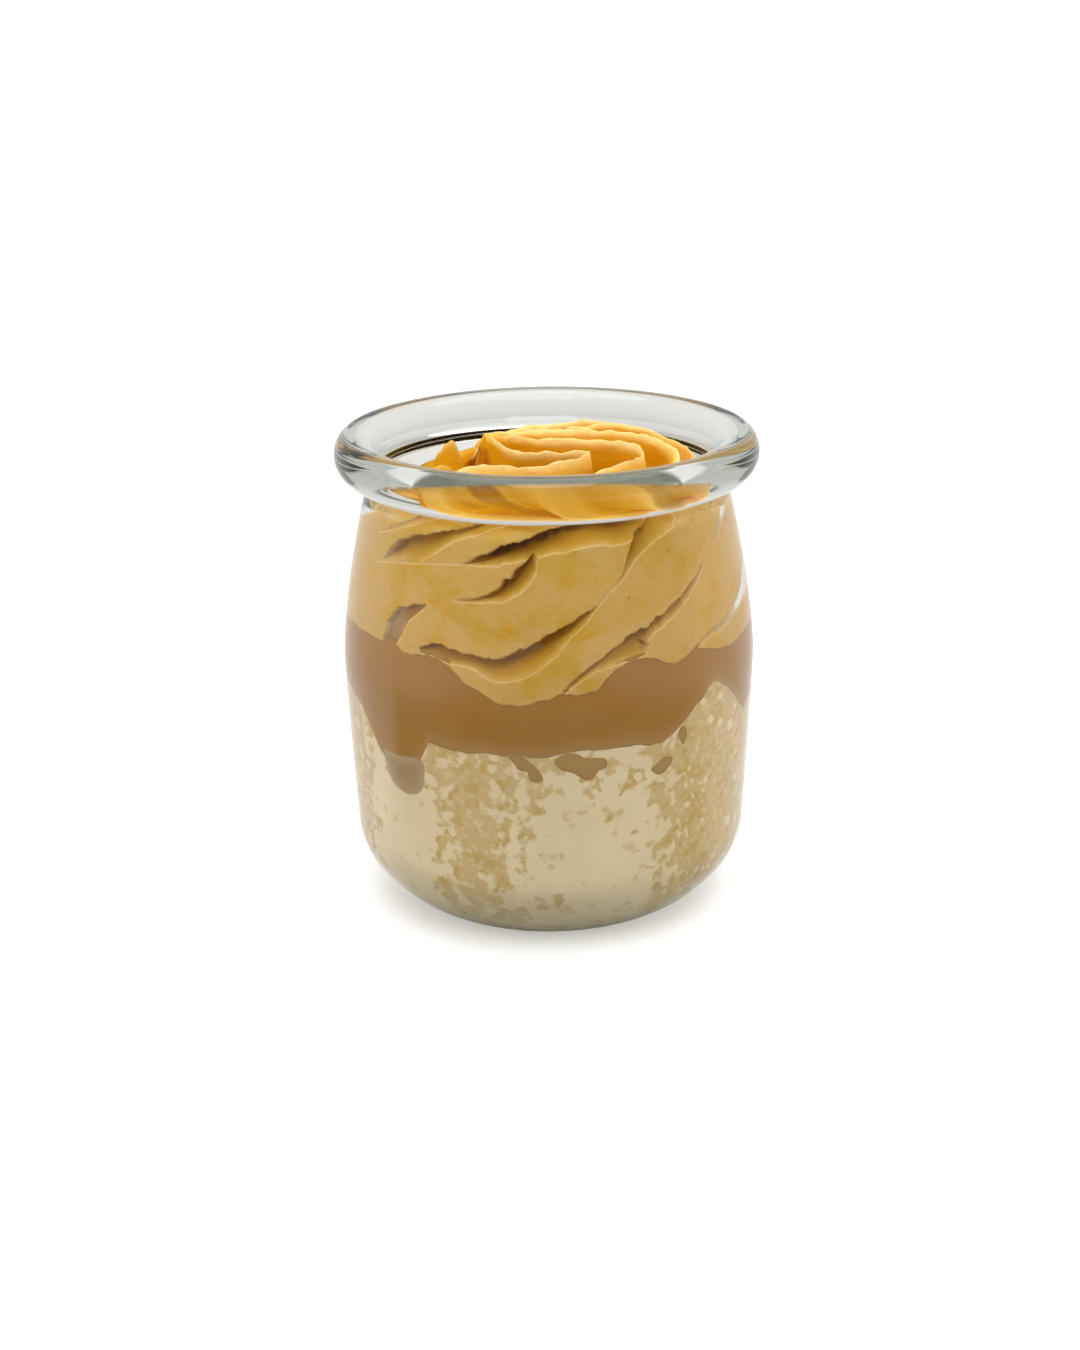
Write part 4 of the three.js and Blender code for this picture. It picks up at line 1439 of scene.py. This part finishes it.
THIN_CARAMEL = CaramelFinish("Thin caramel", (0.36, 0.24, 0.13), (0.44, 0.30, 0.16), (0.66, 0.52, 0.34))
WET_CARAMEL = CaramelFinish("Wet caramel", (0.44, 0.27, 0.10), (0.52, 0.35, 0.16), (0.34, 0.20, 0.07))
SMEARS = (
    Smear("caramel_drop", (
        (-52.0, 33.8), (-51.1, 31.5), (-50.0, 29.6), (-47.9, 28.2), (-43.9, 27.4), (-40.2, 27.7),
        (-37.4, 28.9), (-36.2, 31.0), (-36.0, 33.8), (-39.0, 34.6), (-45.0, 34.0),
    ), THIN_CARAMEL),
    Smear("caramel_run_left", (
        (-11.6, 37.9), (-9.8, 36.4), (-8.3, 35.2), (-5.9, 34.8), (-5.7, 33.6), (-3.7, 33.1),
        (-2.2, 33.7), (-3.3, 35.2), (-5.5, 36.5), (-8.6, 37.9),
    ), WET_CARAMEL),
    Smear("caramel_run_middle", (
        (0.9, 36.8), (2.6, 35.3), (5.7, 34.6), (8.9, 33.3), (11.1, 33.5), (12.4, 34.6),
        (14.5, 35.2), (14.1, 36.7), (8.9, 37.1), (7.0, 37.8), (4.0, 38.0),
    ), WET_CARAMEL),
    Smear("caramel_run_right", (
        (27.4, 33.5), (29.2, 34.3), (31.4, 35.0), (34.0, 34.7), (33.5, 33.5), (31.2, 32.4),
        (29.3, 32.4),
    ), WET_CARAMEL),
    Smear("caramel_bubble", (
        (35.8, 38.4), (36.8, 37.0), (37.8, 36.4), (38.8, 37.6), (38.4, 39.1), (36.8, 39.6),
    ), WET_CARAMEL),
    Smear("caramel_trace", (
        (-57.0, 50.6), (-54.0, 53.0), (-51.6, 56.0), (-47.0, 58.6), (-40.5, 60.2), (-35.4, 60.2),
        (-41.6, 57.0), (-43.0, 54.6), (-42.6, 50.8),
    ), CaramelFinish("Caramel trace"), 0.9),
)


@dataclass
class SoakedBase:
    """The sponge cake and the milk cream that it stands in.

    Attributes:
        form: The jar's section.
        columns: Number of columns round each piece.
        foot: Height of the cake's lowest crumbs.
        cake_top: Height of its upper edge at the glass, behind the caramel.
        lid: Height of its upper side in the middle.
        milk_top: Height of the milk's upper edge at the glass.
        slant: How fast cake and milk draw apart on either side of their shared edge.
        reach: How far both reach into the glass wall.
        milk_level: Height that the milk reaches at the glass all round.
        rough: How ragged the edge between cake and milk is.
        even: How ragged it is at the first pocket, which is the smooth one.
        pockets: Angle, height, half width and half height of each pocket of milk at the glass.
    """

    form: JarForm
    columns: int = 520
    foot: float = 5.2
    cake_top: float = 45.2
    lid: float = 37.2
    milk_top: float = 36.8
    slant: float = 0.12
    reach: float = 0.1
    milk_level: float = 6.5
    rough: float = 2.4
    even: float = 0.3
    pockets: tuple[tuple[float, float, float, float], ...] = (
        (-47.5, 18.0, 14.0, 17.5), (10, 17.5, 22.0, 17.5), (94, 16.0, 13.0, 12.0),
        (152, 18.0, 11.0, 14.0), (200, 13.0, 12.0, 11.0), (247, 17.0, 12.0, 13.0),
    )

    def milk_share(self, angle: np.ndarray, height: np.ndarray) -> tuple[np.ndarray, np.ndarray]:
        """Finds how far each place at the glass is inside milk, and not cake.

        Args:
            angle: Angle of each place.
            height: Its height.

        Returns:
            The distance into the milk for the shape, negative in cake, and the same for the colour.
        """
        arc = math.radians(1.0) * self.form.heel_radius
        inside = self.milk_level - height
        for centre, level, half_width, half_height in self.pockets:
            across = turn_between(angle, centre) / half_width
            along = (height - level) / half_height
            distance = 1.0 - (np.abs(across) ** 3 + np.abs(along) ** 3) ** (1 / 3)
            inside = np.maximum(inside, distance * half_width * arc)
        place = around(angle, self.form.heel_radius, height)
        smooth_pocket = 1.0 - smooth(11.0, 18.0, np.abs(turn_between(angle, self.pockets[0][0])))
        rough = mix(self.rough, self.even, smooth_pocket)
        ragged = inside + rough * Noise(31).fractal(place, 2.6, 4)
        milk = np.maximum(ragged, self.milk_level - 1.0 - height)
        drained = 3.0 * smooth(33.5, 36.5, height) * (1.0 - smooth(26.0, 40.0, np.abs(angle)))
        return milk, inside * mix(1.0, 3.0, smooth_pocket) + drained

    def build_sponge(self) -> bpy.types.Object:
        """Returns the cake, which stands back where milk lies between it and the glass."""
        angle = np.arange(self.columns) * 360.0 / self.columns
        levels = np.linspace(self.foot, self.cake_top, 130)
        height = np.broadcast_to(levels[:, None], (len(levels), self.columns))
        milk, soak = self.milk_share(angle, height)
        back = np.clip(self.slant * milk, 0.0, 0.8)
        wall = around(angle, self.form.inner(height) + self.reach - back, height)
        under = [drawn_in(wall[0], share) for share in (0.0, 0.6)]
        over = [drawn_in(wall[-1], 0.97)]
        over += [drawn_in(wall[-1], share, level=self.lid) for share in (0.85, 0.0)]
        piece = Workshop.capped("soaked_sponge", under, wall, over, "soak", soak, 0.0)
        piece.data.materials.append(SpongeFinish().build())
        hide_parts("sponge_cake")
        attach(piece, "root")
        return piece

    def build_milk(self) -> bpy.types.Object:
        """Returns the milk cream that fills the jar's bottom and the pockets beside the cake."""
        angle = np.arange(self.columns) * 360.0 / self.columns
        turn = np.radians(np.linspace(0.0, 90.0, 46))
        floor, heel = self.form.floor, self.form.heel_height
        above = np.linspace(heel, self.milk_top, 70)[1:]
        levels = np.concatenate([heel + (floor - heel) * np.cos(turn), above])
        height = np.broadcast_to(levels[:, None], (len(levels), self.columns))
        milk, soak = self.milk_share(angle, height)
        reach = self.reach + np.clip(self.slant * milk, -0.8, 0.03)
        # In the heel the milk reaches down into the glass as well as outwards
        sunk = 0.12 * (1.0 - (height - floor) / (heel - floor))
        deeper = np.where(height < heel, height - sunk, height)
        wall = around(angle, self.form.inner(height) + reach, deeper)
        under = [drawn_in(wall[0], share) for share in (0.0, 0.5)]
        over = [drawn_in(wall[-1], share) for share in (0.8, 0.0)]
        piece = Workshop.capped("milk_cream_fill", under, wall, over, "soak", soak, 0.0)
        piece.data.materials.append(MilkFinish().build())
        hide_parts("milk_cream")
        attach(piece, "root")
        return piece


@dataclass
class Studio:
    """Camera, floor and light.

    Attributes:
        distance: From the camera to its target.
        elevation: Degrees that the camera looks down.
        roll: Degrees that the camera is turned about its own axis.
        lens: Focal length of the camera.
        target: Point that the camera looks at.
    """

    distance: float = 340.0
    elevation: float = 20.1
    roll: float = -0.75
    lens: float = 52.74
    target: Point = (-1.56, 0.0, 38.45)

    def build(self) -> None:
        """Makes the camera, the floor and the lights."""
        self._camera()
        self._floor()
        self._lights()
        bpy.context.scene.view_settings.view_transform = "Standard"

    def _camera(self) -> None:
        """Puts the camera where the picture was taken from."""
        Workshop.clear_selection()
        bpy.ops.object.camera_add()
        camera = bpy.context.object
        camera.name = "camera"
        rise = math.radians(self.elevation)
        back = Vector((0.0, -math.cos(rise), math.sin(rise)))
        camera.location = (Vector(self.target) + back * self.distance) * MM
        turn = (-back).to_track_quat("-Z", "Y").to_matrix() @ Matrix.Rotation(
            math.radians(self.roll), 3, "Z"
        )
        camera.rotation_euler = turn.to_euler()
        camera.data.lens = self.lens
        camera.data.sensor_width = 36.0
        camera.data.clip_start = 0.01
        bpy.context.scene.camera = camera

    def _floor(self) -> None:
        """Makes a wide pale floor, which the glass sees darker in front of the jar."""
        Workshop.clear_selection()
        bpy.ops.mesh.primitive_plane_add(size=6.0, location=(0, 0, 0))
        floor = bpy.context.object
        floor.name = "studio_floor"
        made, tree = material("Studio floor")
        rays = tree.add("ShaderNodeLightPath")
        place = tree.add("ShaderNodeTexCoord").outputs["Object"]
        parts = tree.add("ShaderNodeSeparateXYZ", Vector=place)
        aside = tree.ramp(tree.math("ABSOLUTE", parts.outputs[0]), 0.09, 0.24)
        front = tree.ramp(parts.outputs[1], -0.004, -0.024)
        dark = tree.math("MULTIPLY", front, tree.math("SUBTRACT", 1.0, aside))
        pale_mirrored, dark_mirrored = (1.0, 0.98, 0.96), (0.1, 0.1, 0.09)
        reflected = tree.blend(dark, pale_mirrored, dark_mirrored)
        mirrored = tree.add("ShaderNodeEmission", Color=reflected, Strength=1.0)
        matt = tree.add("ShaderNodeBsdfDiffuse", Color=(0.85, 0.85, 0.84))
        glimpsed = tree.math("LESS_THAN", rays.outputs["Diffuse Depth"], 0.5)
        ahead = tree.math("MULTIPLY", front, glimpsed)
        pale_through, dark_through = (0.62, 0.62, 0.61), (0.13, 0.14, 0.11)
        crossed = tree.blend(ahead, pale_through, dark_through)
        through = tree.add("ShaderNodeBsdfDiffuse", Color=crossed)
        pale = tree.add("ShaderNodeBsdfDiffuse", Color=(0.86, 0.86, 0.86))
        glow = tree.add("ShaderNodeEmission", Color=(1.0, 1.0, 1.0), Strength=0.2)
        seen = tree.add("ShaderNodeAddShader", i0=pale.outputs[0], i1=glow.outputs[0])
        surface = matt.outputs[0]
        for kind, shader in (("Glossy", mirrored), ("Transmission", through), ("Camera", seen)):
            step = tree.add(
                "ShaderNodeMixShader",
                i0=rays.outputs[f"Is {kind} Ray"],
                i1=surface,
                i2=shader.outputs[0],
            )
            surface = step.outputs[0]
        tree.add("ShaderNodeOutputMaterial", Surface=surface)
        floor.data.materials.append(made)

    def _lights(self) -> None:
        """Makes one soft lamp overhead, three panels in front and a pale room."""
        Workshop.clear_selection()
        bpy.ops.object.light_add(type="SUN", location=(0.1, 0.2, 0.7))
        lamp = bpy.context.object
        lamp.name = "overhead_lamp"
        lamp.data.energy = 1.6
        lamp.data.angle = math.radians(65.0)
        lamp.rotation_euler = Vector((-0.06, -0.10, -1.0)).to_track_quat("-Z", "Y").to_euler()
        self._panel("front_softbox", (0.02, -0.34, 0.57), (0.36, 0.2), 0.9)
        for side, across, energy in (("left", -0.6, 1.8), ("right", 0.6, 1.9)):
            fill = self._panel(f"{side}_fill", (across, -0.22, 0.26), (0.4, 0.4), energy)
            fill.visible_glossy = False
            fill.visible_transmission = False
        self._room()

    @staticmethod
    def _panel(
        name: str, place: Point, size: tuple[float, float], energy: float
    ) -> bpy.types.Object:
        """Makes a soft panel of light that faces the jar's middle.

        Args:
            name: Name of the lamp.
            place: Its middle, in metres.
            size: Its width and height, in metres.
            energy: Its power.

        Returns:
            The lamp.
        """
        Workshop.clear_selection()
        bpy.ops.object.light_add(type="AREA", location=place)
        panel = bpy.context.object
        panel.name = name
        panel.data.shape = "RECTANGLE"
        panel.data.size, panel.data.size_y = size
        panel.data.energy = energy
        way = Vector((0.0, 0.0, 0.04)) - Vector(place)
        panel.rotation_euler = way.to_track_quat("-Z", "Y").to_euler()
        return panel

    @staticmethod
    def _room() -> None:
        """Makes the pale room that the glass mirrors, darker at the camera's side."""
        world = bpy.data.worlds.new("Studio room")
        bpy.context.scene.world = world
        world.use_nodes = True
        world.node_tree.nodes.clear()
        tree = Tree(world.node_tree)
        way = tree.add("ShaderNodeTexCoord").outputs["Generated"]
        parts = tree.add("ShaderNodeSeparateXYZ", Vector=way)
        up = tree.ramp(parts.outputs[2], -0.1, 0.9)
        back = tree.ramp(parts.outputs[1], -0.7, 0.6)
        rays = tree.add("ShaderNodeLightPath")
        glimpsed = tree.math("LESS_THAN", rays.outputs["Diffuse Depth"], 0.5)
        front = tree.blend(glimpsed, (0.30, 0.30, 0.30), (0.06, 0.065, 0.055))
        wall = tree.blend(back, front, (0.80, 0.80, 0.79))
        room = tree.blend(up, wall, (0.62, 0.62, 0.62))
        soft = tree.add("ShaderNodeBackground", Color=room, Strength=1.0)
        white = tree.add("ShaderNodeBackground", Color=(1.0, 1.0, 1.0), Strength=1.1)
        both = tree.add(
            "ShaderNodeMixShader",
            i0=rays.outputs["Is Camera Ray"],
            i1=soft.outputs[0],
            i2=white.outputs[0],
        )
        tree.add("ShaderNodeOutputWorld", Surface=both.outputs[0])


def main() -> None:
    """Builds the dessert and its studio."""
    logging.basicConfig(level=logging.INFO, format="%(message)s")
    form = JarForm()
    jar = GlassJar(form).build()
    LOG.info("%s: %d faces", jar.name, len(jar.data.polygons))
    base = SoakedBase(form)
    swirl = LucumaSwirl(form)
    pieces = [base.build_milk(), base.build_sponge(), CaramelLayer(form).build(swirl.foot)]
    pieces.append(swirl.build())
    pieces += [smear.build(form) for smear in SMEARS]
    for piece in pieces:
        LOG.info("%s: %d faces", piece.name, len(piece.data.polygons))
    Studio().build()


if __name__ == "__main__":
    main()
